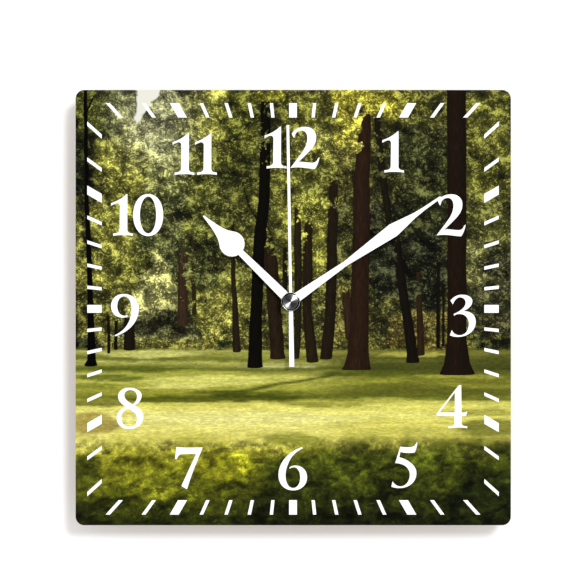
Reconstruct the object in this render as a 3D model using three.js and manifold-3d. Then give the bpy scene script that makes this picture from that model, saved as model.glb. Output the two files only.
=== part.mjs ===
// A square printed wall clock: a thin board, a quartz movement behind it and three hands in front.
// Millimetres, +Z up. The clock faces -Y, and the origin is where the hands' axis meets the wall.
// Each piece is drawn as a viewer sees it: x to the right, y up and z out from the wall, and then
// stood up by STAND_UP. The name of a depth ends in Z.
import * as THREE from "three";
import { mergeVertices } from "three/addons/utils/BufferGeometryUtils.js";
import Module from "manifold-3d";

const wasm = await Module();
wasm.setup();

// Movement case, battery bay and the rear cover
const CASE = { half: 28, corner: 3, depth: 16, wall: 1.4, front: 1.2, cover: 1.2 };
const BAY = { top: -11.4, bottom: -26.6 };
const INNER = CASE.half - CASE.wall;
const INNER_FRONT_Z = CASE.depth - CASE.front;
const DIVIDER_TOP = BAY.top + 1.2;
const SLOT = { width: 0.9, fromZ: 4.4, toZ: 6.8 };
const WELL = { radius: 6.2, wall: 0.8, floorZ: 2.5, floor: 0.7 };
const KNOB = { radius: 5.2, fromZ: 0.2, toZ: 2.3, flutes: 20, flute: 0.3 };

// What is stacked on the movement, from the back to the front
const HANGER = { thick: 0.6, width: 22, top: 51, loopZ: 8.4 };
const KEYHOLE = { y: 38.5, radius: 4.6, slotTop: 44.5, slotRadius: 2.3 };
const RUBBER = { thick: 0.8, radius: 11 };
const BOARD = { side: 250, corner: 5, thick: 5, x: 1.45, y: -3.4, hole: 3.9 };
const FILM = { inset: 0.15, thick: 0.3 };
const WASHER = { thick: 0.5, radius: 5 };
const NUT = { thick: 2, acrossFlats: 8.8 };
const BUSHING = { radius: 3.6, bore: 2.65 };
const RUBBER_Z = CASE.depth + HANGER.thick;
const BOARD_Z = RUBBER_Z + RUBBER.thick;
const FILM_Z = BOARD_Z + BOARD.thick;
const WASHER_Z = FILM_Z + FILM.thick;
const NUT_Z = WASHER_Z + WASHER.thick;
const BUSHING_END_Z = NUT_Z + NUT.thick + 0.1;

// Hands: clock angles are in degrees clockwise from twelve
const HOUR = { angle: 314.5, length: 70.4, z: 26, thick: 0.5, hub: 5.1, disc: 7.2, discAt: 47.2 };
const MINUTE = { angle: 55.1, length: 105, z: 28, thick: 0.5, hub: 5.3 };
const SECOND = { angle: 359.05, length: 101, tail: 37.2, z: 30, thick: 0.3 };
const BOSS = { radius: 5.2, face: 4.7, height: 2.4 };

// Pipes and arbors on the hands' axis
const HOUR_PIPE = { radius: 2.4, bore: 1.85, endZ: HOUR.z + HOUR.thick + 0.1 };
const MINUTE_PIPE = { radius: 1.6, bore: 0.75, fromZ: 9.7, endZ: MINUTE.z + MINUTE.thick + 0.1 };
const ARBOR = { radius: 0.5, rear: 0.4, stepZ: 9.6, fromZ: 3.5, endZ: 30.2 };
const PIVOT = { radius: 0.35, hole: 0.5, fromZ: 3.5, endZ: 15.4, holeEndZ: 15.5 };
const ARBOR_BODY = { fromZ: 4.4, toZ: 14.6 };
const MOTION_ARBOR = { radius: 0.7, fromZ: 1, toZ: 14.3 };
const BUSH = {
  hour: { radius: 3.6, fromZ: 25.5 },
  minute: { radius: 2.6, fromZ: 27.2 },
  second: { radius: 1.2, fromZ: 29 },
};
const FIT = 0.05;

// Gear teeth, and how far apart the meshing arbors stand
const TOOTH = { addendum: 0.8, dedendum: 1.2, tipShare: 0.22, rootShare: 0.5 };
const TEETH = {
  rotorPinion: 8,
  intermediateWheel: 40,
  intermediatePinion: 8,
  secondsWheel: 48,
  secondsPinion: 8,
  thirdWheel: 60,
  thirdPinion: 8,
  centreWheel: 64,
  cannonPinion: 12,
  motionWheel: 36,
  motionPinion: 10,
  hourWheel: 40,
};
// How far out from the wall each wheel's teeth begin and end
const LEVEL = {
  rotorPinion: [4.8, 6.2],
  intermediateWheel: [5, 5.8],
  intermediatePinion: [6.4, 7.8],
  secondsWheel: [6.8, 7.6],
  secondsPinion: [8, 9.5],
  thirdWheel: [8.4, 9.2],
  thirdPinion: [9, 11.2],
  centreWheel: [10.2, 11],
  clutchSpring: [11.1, 11.5],
  cannonPinion: [11.6, 12.9],
  motionPinion: [12.6, 14.3],
  hourWheel: [13.2, 14.2],
};
const ROTOR_DISTANCE = 6;
const TRAIN_DISTANCE = 8;
const MOTION_DISTANCE = 8.4;
const DIRECTION = {
  motion: 0,
  third: THREE.MathUtils.degToRad(110),
  intermediate: THREE.MathUtils.degToRad(190),
  rotor: THREE.MathUtils.degToRad(150),
};
const polar = (from, distance, direction) =>
  new THREE.Vector2(distance, 0).rotateAround(new THREE.Vector2(), direction).add(from);
const AXIS = new THREE.Vector2(0, 0);
const MOTION = polar(AXIS, MOTION_DISTANCE, DIRECTION.motion);
const THIRD = polar(AXIS, TRAIN_DISTANCE, DIRECTION.third);
const INTERMEDIATE = polar(AXIS, TRAIN_DISTANCE, DIRECTION.intermediate);
const ROTOR = polar(INTERMEDIATE, ROTOR_DISTANCE, DIRECTION.rotor);

// Gear plate, electrical pieces and battery
const PLATE = { halfWidth: 26.2, bottom: -9.6, top: 26.2, fromZ: 3.4, toZ: 4.2 };
const POSTS = [[-24.7, -8.2], [24.7, -8.2], [-24.7, 24.9], [24.7, 24.9]];
const POST_RADIUS = 1.2;
const COIL = { x: -21.8, z: 8.9, bottom: 6.5, top: 20, flange: 4, flangeThick: 0.8, tube: 2, winding: 3.5 };
const CORE = { halfWidth: 1.5, halfThick: 0.5, bottom: 2, top: 25 };
const STATOR = { fromZ: 9.5, toZ: 10.3, ring: 4.4, bore: 3.3, armWidth: 3 };
const STATOR_SCREWS = [["stator_screw_lower", 3.5], ["stator_screw_upper", 23.4]];
const SCREW = { radius: 0.8, hole: 1, head: 1.5, headThick: 0.9, fromZ: 4.5, boss: 1.6 };
const MAGNET = { radius: 2.9, bore: 0.8, fromZ: 7.8, toZ: 11.4 };
const CIRCUIT = { left: 10, right: 25.6, bottom: 8.5, top: 22.5, fromZ: 4.25, toZ: 5.05 };
const CHIP = { x: 17, y: 16, radius: 2.6, height: 1 };
const CRYSTAL = { x: 22.8, y: 18, radius: 1, length: 6 };
const LEAD_RADIUS = 0.15;
const BATTERY = { radius: 7, y: -19, z: 7.5, left: -24.55, right: 24.6, capRadius: 2.75, capEnd: 25.95 };
const CONTACT = { thick: 0.3, x: 26, footZ: 5.1 };

// Materials
const material = (color, roughness, metalness) =>
  new THREE.MeshStandardMaterial({ color, roughness, metalness });
const fibreboard = () => material(0xb08a5e, 0.8, 0);
const print = () => material(0x5c6b2c, 0.4, 0);
const blackPlastic = () => material(0x1b1c1e, 0.45, 0);
const whitePlastic = () => material(0xe9e6dc, 0.45, 0);
const zincSteel = () => material(0xb9bcc0, 0.35, 0.9);
const rubber = () => material(0x222222, 0.8, 0);
const brass = () => material(0xc9a14a, 0.3, 0.95);
const whitePaint = () => material(0xf8f8f6, 0.35, 0);
const chrome = () => material(0xd9dbde, 0.12, 1);
const jacket = () => material(0x2f3a46, 0.35, 0.2);
const laminate = () => material(0x2f6b3c, 0.5, 0);
const epoxy = () => material(0x111111, 0.4, 0);
const copper = () => material(0xb5652e, 0.35, 0.8);
const iron = () => material(0x8d9094, 0.4, 0.85);
const magnet = () => material(0x4a4b4e, 0.5, 0.6);

// Booleans: a geometry becomes a manifold-3d solid, and a solid becomes a geometry again
function toSolid(geometry) {
  const bare = geometry.clone();
  bare.deleteAttribute("normal");
  bare.deleteAttribute("uv");
  const merged = mergeVertices(bare, 1e-4);
  return new wasm.Manifold(
    new wasm.Mesh({
      numProp: 3,
      vertProperties: merged.attributes.position.array,
      triVerts: new Uint32Array(merged.index.array),
    }),
  );
}

function toGeometry(solid) {
  const made = solid.getMesh();
  const geometry = new THREE.BufferGeometry();
  geometry.setAttribute("position", new THREE.BufferAttribute(new Float32Array(made.vertProperties), 3));
  geometry.setIndex(new THREE.BufferAttribute(new Uint32Array(made.triVerts), 1));
  geometry.computeVertexNormals();
  return geometry;
}

const join = (...pieces) => toGeometry(pieces.map(toSolid).reduce((whole, next) => whole.add(next)));
const cut = (base, ...tools) =>
  toGeometry(tools.map(toSolid).reduce((left, tool) => left.subtract(tool), toSolid(base)));
const overlap = (a, b) => toGeometry(toSolid(a).intersect(toSolid(b)));

// Basic solids, each between two depths
function slab(shape, fromZ, toZ, segments = 8) {
  const options = { depth: toZ - fromZ, bevelEnabled: false, curveSegments: segments };
  return new THREE.ExtrudeGeometry(shape, options).translate(0, 0, fromZ);
}

function block(left, right, bottom, top, fromZ, toZ) {
  const box = new THREE.BoxGeometry(right - left, top - bottom, toZ - fromZ);
  return box.translate((left + right) / 2, (bottom + top) / 2, (fromZ + toZ) / 2);
}

function rod(radius, fromZ, toZ, at = AXIS, segments = 16) {
  const cylinder = new THREE.CylinderGeometry(radius, radius, toZ - fromZ, segments);
  return cylinder.rotateX(Math.PI / 2).translate(at.x, at.y, (fromZ + toZ) / 2);
}

function hole(radius, at = AXIS) {
  return new THREE.Path().absarc(at.x, at.y, radius, 0, 2 * Math.PI, true);
}

function ring(outer, inner, fromZ, toZ, at = AXIS, segments = 8) {
  const shape = new THREE.Shape().absarc(at.x, at.y, outer, 0, 2 * Math.PI, false);
  shape.holes.push(hole(inner, at));
  return slab(shape, fromZ, toZ, segments);
}

function turned(profile, at = AXIS, segments = 32) {
  const points = profile.map(([radius, z]) => new THREE.Vector2(radius, z));
  return new THREE.LatheGeometry(points, segments).rotateX(Math.PI / 2).translate(at.x, at.y, 0);
}

function roundedSquare(half, corner, x = 0, y = 0) {
  const side = half - corner;
  const shape = new THREE.Shape();
  shape.absarc(x + side, y + side, corner, 0, Math.PI / 2, false);
  shape.absarc(x - side, y + side, corner, Math.PI / 2, Math.PI, false);
  shape.absarc(x - side, y - side, corner, Math.PI, 1.5 * Math.PI, false);
  shape.absarc(x + side, y - side, corner, 1.5 * Math.PI, 2 * Math.PI, false);
  return shape.closePath();
}

const polygon = (points) => new THREE.Shape(points.map(([x, y]) => new THREE.Vector2(x, y)));
const alongY = (geometry) => geometry.rotateX(-Math.PI / 2);
const alongX = (geometry) => geometry.rotateY(Math.PI / 2);

function tube(points) {
  const section = new THREE.Shape().absarc(0, 0, LEAD_RADIUS, 0, 2 * Math.PI, false);
  const path = new THREE.CatmullRomCurve3(points.map((point) => new THREE.Vector3(...point)));
  return new THREE.ExtrudeGeometry(section, { steps: 14, curveSegments: 3, extrudePath: path });
}

// Gears
const moduleOf = (distance, teethA, teethB) => (2 * distance) / (teethA + teethB);

function gear(teeth, module, phase, fromZ, toZ, bore = 0) {
  const pitch = (module * teeth) / 2;
  const step = (2 * Math.PI) / teeth;
  const root = [pitch - TOOTH.dedendum * module, TOOTH.rootShare / 2];
  const tip = [pitch + TOOTH.addendum * module, TOOTH.tipShare / 2];
  const corners = [[root[0], -root[1]], [tip[0], -tip[1]], [tip[0], tip[1]], [root[0], root[1]]];
  const outline = [];
  for (let tooth = 0; tooth < teeth; tooth++) {
    for (const [radius, share] of corners) {
      const angle = phase + (tooth + share) * step;
      outline.push([radius * Math.cos(angle), radius * Math.sin(angle)]);
    }
  }
  const shape = polygon(outline);
  if (bore) shape.holes.push(hole(bore));
  return slab(shape, fromZ, toZ);
}

// The phase at which gear B, found from gear A in the given direction, has a gap facing A's tooth
const meshPhase = (direction, phaseA, teethA, teethB) =>
  direction + Math.PI + Math.PI / teethB - ((phaseA - direction) * teethA) / teethB;

const MODULE = {
  rotor: moduleOf(ROTOR_DISTANCE, TEETH.rotorPinion, TEETH.intermediateWheel),
  seconds: moduleOf(TRAIN_DISTANCE, TEETH.intermediatePinion, TEETH.secondsWheel),
  third: moduleOf(TRAIN_DISTANCE, TEETH.secondsPinion, TEETH.thirdWheel),
  centre: moduleOf(TRAIN_DISTANCE, TEETH.thirdPinion, TEETH.centreWheel),
  cannon: moduleOf(MOTION_DISTANCE, TEETH.cannonPinion, TEETH.motionWheel),
  hour: moduleOf(MOTION_DISTANCE, TEETH.motionPinion, TEETH.hourWheel),
};

// Arbor with a thin pivot at each end
function pivoted(bodyRadius, bodyFromZ, bodyToZ) {
  return turned(
    [
      [0, PIVOT.fromZ],
      [PIVOT.radius, PIVOT.fromZ],
      [PIVOT.radius, bodyFromZ],
      [bodyRadius, bodyFromZ],
      [bodyRadius, bodyToZ],
      [PIVOT.radius, bodyToZ],
      [PIVOT.radius, PIVOT.endZ],
      [0, PIVOT.endZ],
    ],
    AXIS,
    12,
  );
}

const placed = (geometry, at) => geometry.translate(at.x, at.y, 0);

// Board and what holds it
function dialBoard() {
  const shape = roundedSquare(BOARD.side / 2, BOARD.corner, BOARD.x, BOARD.y);
  shape.holes.push(hole(BOARD.hole));
  return slab(shape, BOARD_Z, FILM_Z);
}

function printedFilm() {
  const shape = roundedSquare(BOARD.side / 2 - FILM.inset, BOARD.corner, BOARD.x, BOARD.y);
  shape.holes.push(hole(BOARD.hole));
  return slab(shape, FILM_Z, WASHER_Z);
}

function hangerPlate() {
  const { thick, width, top, loopZ } = HANGER;
  const { y: keyY, radius: keyRadius, slotTop, slotRadius } = KEYHOLE;
  const bottom = -width / 2;
  const bendStart = CASE.half + 0.5;
  const bendEnd = CASE.half + 4;
  const rearZ = CASE.depth;
  const profile = polygon([
    [bottom, rearZ],
    [bendStart, rearZ],
    [bendEnd, loopZ],
    [top, loopZ],
    [top, loopZ + thick],
    [bendEnd + 0.4, loopZ + thick],
    [bendStart + 0.4, rearZ + thick],
    [bottom, rearZ + thick],
  ]);
  const acrossX = new THREE.Matrix4().makeBasis(
    new THREE.Vector3(0, 1, 0),
    new THREE.Vector3(0, 0, 1),
    new THREE.Vector3(1, 0, 0),
  );
  const strip = slab(profile, -width / 2, width / 2).applyMatrix4(acrossX);
  const plan = new THREE.Shape();
  plan.absarc(0, 0, width / 2, Math.PI, 2 * Math.PI, false);
  plan.absarc(0, top - width / 2, width / 2, 0, Math.PI, false);
  const keyhole = [
    rod(keyRadius, 0, rearZ, new THREE.Vector2(0, keyY), 24),
    rod(slotRadius, 0, rearZ, new THREE.Vector2(0, slotTop), 24),
    block(-slotRadius, slotRadius, keyY, slotTop, 0, rearZ),
  ];
  const bushingHole = rod(BUSHING.radius + 0.2, 0, rearZ * 2, AXIS, 24);
  return cut(overlap(strip, slab(plan, 0, rearZ * 2, 12)), bushingHole, ...keyhole);
}

const rubberWasher = () => ring(RUBBER.radius, BUSHING.radius + 0.3, RUBBER_Z, BOARD_Z, AXIS, 12);
const brassWasher = () => ring(WASHER.radius, BUSHING.radius + 0.2, WASHER_Z, NUT_Z, AXIS, 12);

function hexNut() {
  const corner = NUT.acrossFlats / Math.sqrt(3);
  const corners = [];
  for (let side = 0; side < 6; side++) {
    const angle = (side * Math.PI) / 3;
    corners.push([corner * Math.cos(angle), corner * Math.sin(angle)]);
  }
  const shape = polygon(corners);
  shape.holes.push(hole(BUSHING.radius + FIT));
  return slab(shape, NUT_Z, NUT_Z + NUT.thick, 12);
}

// Movement case
function caseFront() {
  const shell = slab(roundedSquare(CASE.half, CASE.corner), 0, CASE.depth, 4);
  const beyond = CASE.half + 1;
  const slots = [-1, 1].map((side) => {
    const edges = [side * INNER, side * (INNER - SLOT.width)].sort((a, b) => a - b);
    return block(...edges, BAY.top - 1, DIVIDER_TOP + 1, SLOT.fromZ, SLOT.toZ);
  });
  const pivotHoles = [MOTION, THIRD, INTERMEDIATE, ROTOR].map((at) =>
    rod(PIVOT.hole, INNER_FRONT_Z - 1, PIVOT.holeEndZ, at, 12),
  );
  const tray = cut(
    shell,
    block(-INNER, INNER, DIVIDER_TOP, INNER, 1, INNER_FRONT_Z),
    block(-INNER, INNER, BAY.bottom, BAY.top, -1, INNER_FRONT_Z),
    block(-beyond, beyond, BAY.top, beyond, -1, CASE.cover),
    ...slots,
  );
  const bushing = rod(BUSHING.radius, INNER_FRONT_Z, BUSHING_END_Z, AXIS, 24);
  const bore = rod(BUSHING.bore, INNER_FRONT_Z - 1, BUSHING_END_Z + 1, AXIS, 24);
  return cut(join(tray, bushing), bore, ...pivotHoles);
}

function caseRearCover() {
  const bottom = BAY.top + 0.1;
  const side = CASE.half - CASE.corner;
  const shape = new THREE.Shape().moveTo(-CASE.half, bottom).lineTo(CASE.half, bottom);
  shape.absarc(side, side, CASE.corner, 0, Math.PI / 2, false);
  shape.absarc(-side, side, CASE.corner, Math.PI / 2, Math.PI, false);
  const cup = rod(WELL.radius + WELL.wall, 0, WELL.floorZ + WELL.floor, MOTION, 32);
  const feet = POSTS.map(([x, y]) => rod(POST_RADIUS, 1, PLATE.fromZ - 0.1, new THREE.Vector2(x, y), 12));
  const well = rod(WELL.radius, -1, WELL.floorZ, MOTION, 32);
  const arborHole = rod(0.95, -1, CASE.depth, MOTION, 16);
  return cut(join(slab(shape, 0, CASE.cover, 4), cup, ...feet), well, arborHole);
}

function gearPlate() {
  const { halfWidth, bottom, top, fromZ, toZ } = PLATE;
  const posts = POSTS.map(([x, y]) =>
    rod(POST_RADIUS, fromZ + 0.1, INNER_FRONT_Z - 0.1, new THREE.Vector2(x, y), 12),
  );
  const screwAt = STATOR_SCREWS.map(([, y]) => new THREE.Vector2(COIL.x, y));
  const bosses = screwAt.map((at) => rod(SCREW.boss, fromZ + 0.1, COIL.z - CORE.halfThick - 0.1, at, 12));
  const screwHoles = screwAt.map((at) => rod(SCREW.hole, 0, CASE.depth, at, 12));
  const pivotHoles = [AXIS, THIRD, INTERMEDIATE, ROTOR].map((at) =>
    rod(PIVOT.hole + FIT, 0, toZ + 1, at, 12),
  );
  const arborHole = rod(0.95, 0, toZ + 1, MOTION, 16);
  const plate = block(-halfWidth, halfWidth, bottom, top, fromZ, toZ);
  return cut(join(plate, ...posts, ...bosses), ...screwHoles, ...pivotHoles, arborHole);
}

// Battery and its contacts
function batteryCell() {
  const { radius, left, right } = BATTERY;
  const round = 0.6;
  const can = turned(
    [
      [0, left],
      [radius - round, left],
      [radius, left + round],
      [radius, right - round],
      [radius - round, right],
      [0, right],
    ],
    AXIS,
    32,
  );
  return alongX(can).translate(0, BATTERY.y, BATTERY.z);
}

function batteryCap() {
  const { capRadius, right, capEnd } = BATTERY;
  const button = turned([[0, right], [capRadius, right], [capRadius, capEnd], [0, capEnd]], AXIS, 16);
  return alongX(button).translate(0, BATTERY.y, BATTERY.z);
}

function contactPositive() {
  const { x, thick, footZ } = CONTACT;
  const plate = block(x, x + thick, -23, -15, 3, 12);
  const tail = block(x, x + thick, -16, 10.5, footZ, footZ + 1.2);
  const foot = block(22.5, x + thick, 9, 10.5, footZ, footZ + thick);
  return join(plate, tail, foot);
}

function contactNegativeSpring() {
  const { x, thick, footZ } = CONTACT;
  const rear = -x - thick;
  // The bowed leaf: a flat foot at each end and a crown that touches the battery
  const crown = BATTERY.left - 0.07;
  const front = [[-x, -24], [-x, -23], [crown, -19.6], [crown, -18.4], [-x, -15], [-x, -14]];
  const leaf = polygon([[rear, -24], ...front, [rear, -14]]);
  const hollow = polygon([[0.05 - x, -22], [0.05 - x, -16], [-25, -18.5], [-25, -19.5]]);
  leaf.holes.push(new THREE.Path(hollow.getPoints()));
  const rail = DIVIDER_TOP + 0.2;
  return join(
    slab(leaf, footZ - 0.6, footZ + 5.4),
    block(rear, -x, -14.5, rail + thick, footZ - 0.5, footZ + 0.5),
    block(rear, 21.5, rail, rail + thick, footZ - 0.5, footZ + 0.5),
    block(20, 21.5, rail, 8.2, footZ - 0.5, footZ - 0.2),
    block(20, 21.5, 7.9, 8.2, footZ - 0.5, footZ + thick),
    block(20, 21.5, 7.9, 10.5, footZ, footZ + thick),
  );
}

// Circuit and motor
function circuitBoard() {
  const { left, right, bottom, top, fromZ, toZ } = CIRCUIT;
  return block(left, right, bottom, top, fromZ, toZ);
}

function chip() {
  const { x, y, radius, height } = CHIP;
  const base = CIRCUIT.toZ;
  const profile = [[0, base], [radius, base]];
  for (let step = 1; step <= 5; step++) {
    const angle = (step * Math.PI) / 10;
    profile.push([step < 5 ? radius * Math.cos(angle) : 0, base + height * Math.sin(angle)]);
  }
  return turned(profile, new THREE.Vector2(x, y), 20);
}

function crystalCan() {
  const { x, y, radius, length } = CRYSTAL;
  const can = alongY(rod(radius, -length / 2, length / 2, AXIS, 14));
  return can.translate(x, y, CIRCUIT.toZ + radius + FIT);
}

function coilBobbin() {
  const { x, z, bottom, top, flange, flangeThick, tube: tubeRadius } = COIL;
  const reel = join(
    rod(tubeRadius, bottom, top, AXIS, 16),
    rod(flange, bottom, bottom + flangeThick, AXIS, 20),
    rod(flange, top - flangeThick, top, AXIS, 20),
  );
  const gap = 0.15;
  const slot = block(
    -CORE.halfWidth - gap,
    CORE.halfWidth + gap,
    -CORE.halfThick - gap,
    CORE.halfThick + gap,
    bottom - 1,
    top + 1,
  );
  return alongY(cut(reel, slot)).translate(x, 0, z);
}

function coilWinding() {
  const { x, z, bottom, top, flangeThick, tube: tubeRadius, winding } = COIL;
  const gap = 0.1;
  const inset = flangeThick + gap;
  const wound = ring(winding, tubeRadius + gap, bottom + inset, top - inset, AXIS, 10);
  return alongY(wound).translate(x, 0, z);
}

const screwHolesAt = () =>
  STATOR_SCREWS.map(([, y]) => rod(SCREW.hole, 0, CASE.depth, new THREE.Vector2(COIL.x, y), 12));

function coilCore() {
  const { halfWidth, halfThick, bottom, top } = CORE;
  const { x, z } = COIL;
  const bar = block(x - halfWidth, x + halfWidth, bottom, top, z - halfThick, z + halfThick);
  return cut(bar, ...screwHolesAt());
}

function stator() {
  const { fromZ, toZ, ring: outer, bore, armWidth } = STATOR;
  const [lowerY, upperY] = STATOR_SCREWS.map(([, y]) => y);
  const half = armWidth / 2;
  const left = COIL.x - half;
  const whole = join(
    rod(outer, fromZ, toZ, ROTOR, 28),
    block(left, ROTOR.x, lowerY - half, lowerY + half, fromZ, toZ),
    block(left, ROTOR.x + half, upperY - half, upperY + half, fromZ, toZ),
    block(ROTOR.x - half, ROTOR.x + half, ROTOR.y, upperY + half, fromZ, toZ),
  );
  return cut(whole, rod(bore, 0, CASE.depth, ROTOR, 28), ...screwHolesAt());
}

function statorScrew(y) {
  const { radius, head, headThick, fromZ } = SCREW;
  const seatZ = STATOR.toZ + FIT;
  const topZ = seatZ + headThick;
  const profile = [[0, fromZ], [radius, fromZ], [radius, seatZ], [head, seatZ], [head, topZ], [0, topZ]];
  return turned(profile, new THREE.Vector2(COIL.x, y), 12);
}

// The coil's two leads, bowed over the train from the bobbin to the circuit
const leadOut = () =>
  tube([[-18.6, 20.3, 12.3], [-10, 20.6, 12.5], [0, 19.6, 9], [9, 19.5, 6.4], [12, 19.5, 5.3]]);
const leadReturn = () =>
  tube([[-18.6, 6, 12.3], [-13, 13.5, 12.4], [-4, 17.5, 10], [8, 17, 7], [12.5, 16.8, 5.3]]);

// Wheels
function rotorMagnet() {
  return ring(MAGNET.radius, MAGNET.bore, MAGNET.fromZ, MAGNET.toZ, ROTOR, 12);
}

const secondsPhase = 0;
const intermediatePinionPhase = meshPhase(
  DIRECTION.intermediate,
  secondsPhase,
  TEETH.secondsWheel,
  TEETH.intermediatePinion,
);
const rotorPhase = meshPhase(DIRECTION.rotor, 0, TEETH.intermediateWheel, TEETH.rotorPinion);
const thirdPhase = meshPhase(DIRECTION.third, secondsPhase, TEETH.secondsPinion, TEETH.thirdWheel);
const centrePhase = meshPhase(DIRECTION.third + Math.PI, 0, TEETH.thirdPinion, TEETH.centreWheel);
const motionPhase = meshPhase(DIRECTION.motion, 0, TEETH.cannonPinion, TEETH.motionWheel);
const hourPhase = meshPhase(DIRECTION.motion + Math.PI, 0, TEETH.motionPinion, TEETH.hourWheel);

function rotorPinion() {
  const wheel = join(
    gear(TEETH.rotorPinion, MODULE.rotor, rotorPhase, ...LEVEL.rotorPinion),
    pivoted(0.7, 4.8, 11.9),
    rod(1.6, 7.3, 7.7, AXIS, 16),
  );
  return placed(wheel, ROTOR);
}

function intermediateWheel() {
  const wheel = join(
    gear(TEETH.intermediateWheel, MODULE.rotor, 0, ...LEVEL.intermediateWheel),
    gear(TEETH.intermediatePinion, MODULE.seconds, intermediatePinionPhase, ...LEVEL.intermediatePinion),
    rod(0.8, 5.4, 7, AXIS, 16),
    pivoted(ARBOR.radius, ARBOR_BODY.fromZ, ARBOR_BODY.toZ),
  );
  return placed(wheel, INTERMEDIATE);
}

function secondsWheel() {
  const blank = join(
    gear(TEETH.secondsWheel, MODULE.seconds, secondsPhase, ...LEVEL.secondsWheel),
    gear(TEETH.secondsPinion, MODULE.third, secondsPhase, ...LEVEL.secondsPinion),
    rod(1.2, 6.2, 8.1, AXIS, 16),
  );
  return cut(blank, rod(ARBOR.rear + FIT, 0, CASE.depth, AXIS, 12));
}

function secondsArbor() {
  const { radius, rear, stepZ, fromZ, endZ } = ARBOR;
  const profile = [[0, fromZ], [rear, fromZ], [rear, stepZ], [radius, stepZ], [radius, endZ], [0, endZ]];
  return turned(profile, AXIS, 12);
}

function thirdWheel() {
  const wheel = join(
    gear(TEETH.thirdWheel, MODULE.third, thirdPhase, ...LEVEL.thirdWheel),
    gear(TEETH.thirdPinion, MODULE.centre, 0, ...LEVEL.thirdPinion),
    pivoted(ARBOR.radius, ARBOR_BODY.fromZ, ARBOR_BODY.toZ),
  );
  return placed(wheel, THIRD);
}

const centreWheel = () =>
  gear(TEETH.centreWheel, MODULE.centre, centrePhase, ...LEVEL.centreWheel, MINUTE_PIPE.radius + 0.2);
const clutchSpring = () => ring(3.4, MINUTE_PIPE.radius + FIT, ...LEVEL.clutchSpring, AXIS, 8);

function minutePipe() {
  const { radius, bore, fromZ, endZ } = MINUTE_PIPE;
  const blank = join(
    rod(radius, fromZ, endZ, AXIS, 20),
    rod(2.2, fromZ, 10.1, AXIS, 20),
    gear(TEETH.cannonPinion, MODULE.cannon, 0, ...LEVEL.cannonPinion),
  );
  return cut(blank, rod(bore, 0, endZ + 1, AXIS, 16));
}

function hourWheel() {
  const { radius, bore, endZ } = HOUR_PIPE;
  const blank = join(
    gear(TEETH.hourWheel, MODULE.hour, hourPhase, ...LEVEL.hourWheel),
    rod(radius, LEVEL.hourWheel[0], endZ, AXIS, 24),
  );
  return cut(blank, rod(bore, 0, endZ + 1, AXIS, 20));
}

function motionWheel() {
  const { radius, fromZ, toZ } = MOTION_ARBOR;
  const wheel = join(
    gear(TEETH.motionWheel, MODULE.cannon, motionPhase, ...LEVEL.cannonPinion),
    gear(TEETH.motionPinion, MODULE.hour, 0, ...LEVEL.motionPinion),
    rod(radius, fromZ, toZ, AXIS, 12),
    rod(PIVOT.radius, toZ - 0.3, PIVOT.endZ, AXIS, 12),
  );
  return placed(wheel, MOTION);
}

function settingKnob() {
  const { radius, fromZ, toZ, flutes, flute } = KNOB;
  const outline = [];
  const count = flutes * 3;
  for (let i = 0; i < count; i++) {
    const angle = (2 * Math.PI * i) / count;
    const r = radius - (i % 3 === 0 ? flute : 0);
    outline.push([r * Math.cos(angle), r * Math.sin(angle)]);
  }
  const grip = slab(polygon(outline), fromZ, toZ);
  const socket = rod(MOTION_ARBOR.radius + FIT, MOTION_ARBOR.fromZ - 0.1, toZ + 1, AXIS, 12);
  return placed(cut(grip, socket), MOTION);
}

// Hands: drawn pointing up, then turned to their clock angle
const atClockAngle = (geometry, angle) => geometry.rotateZ(-THREE.MathUtils.degToRad(angle));

function hourHand() {
  const { angle, length, z, thick, hub, disc, discAt } = HOUR;
  const hubHalf = 2.75;
  const neckHalf = 1.85;
  const tipHalf = 0.5;
  const neckAt = discAt - Math.sqrt(disc ** 2 - neckHalf ** 2);
  const leaveAngle = 0.62;
  const leave = [disc * Math.cos(leaveAngle), discAt + disc * Math.sin(leaveAngle)];
  const enterAngle = Math.atan2(neckAt - discAt, neckHalf);
  const shape = new THREE.Shape().moveTo(hubHalf, 0).lineTo(neckHalf, neckAt);
  shape.absarc(0, discAt, disc, enterAngle, leaveAngle, false);
  shape.bezierCurveTo(leave[0] - 2.3, leave[1] + 3, 2, discAt + 10.5, tipHalf, length - 0.4);
  shape.lineTo(0, length).lineTo(-tipHalf, length - 0.4);
  shape.bezierCurveTo(-2, discAt + 10.5, 2.3 - leave[0], leave[1] + 3, -leave[0], leave[1]);
  shape.absarc(0, discAt, disc, Math.PI - leaveAngle, Math.PI - enterAngle, false);
  shape.lineTo(-hubHalf, 0);
  const blade = join(slab(shape, z, z + thick, 8), rod(hub, z, z + thick, AXIS, 32));
  return atClockAngle(cut(blade, rod(HOUR_PIPE.radius + FIT, 0, z + 2, AXIS, 24)), angle);
}

function minuteHand() {
  const { angle, length, z, thick, hub } = MINUTE;
  const right = [[2.9, 0], [1.45, 38], [3.9, 71.6], [1.5, 86], [0.95, 93], [0.65, length - 0.5]];
  const left = right.map(([x, y]) => [-x, y]).reverse();
  const shape = polygon([...right, [0, length], ...left]);
  const blade = join(slab(shape, z, z + thick), rod(hub, z, z + thick, AXIS, 32));
  return atClockAngle(cut(blade, rod(MINUTE_PIPE.radius + FIT, 0, z + 2, AXIS, 20)), angle);
}

function secondHand() {
  const { angle, length, tail, z, thick } = SECOND;
  const right = [[1.43, -tail], [1.18, -3], [0.84, 3], [0.77, length]];
  const left = right.map(([x, y]) => [-x, y]).reverse();
  const shape = polygon([...right, ...left]);
  const blade = join(slab(shape, z, z + thick), rod(2.4, z, z + thick, AXIS, 24));
  return atClockAngle(cut(blade, rod(ARBOR.radius + FIT, 0, z + 2, AXIS, 12)), angle);
}

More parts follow.
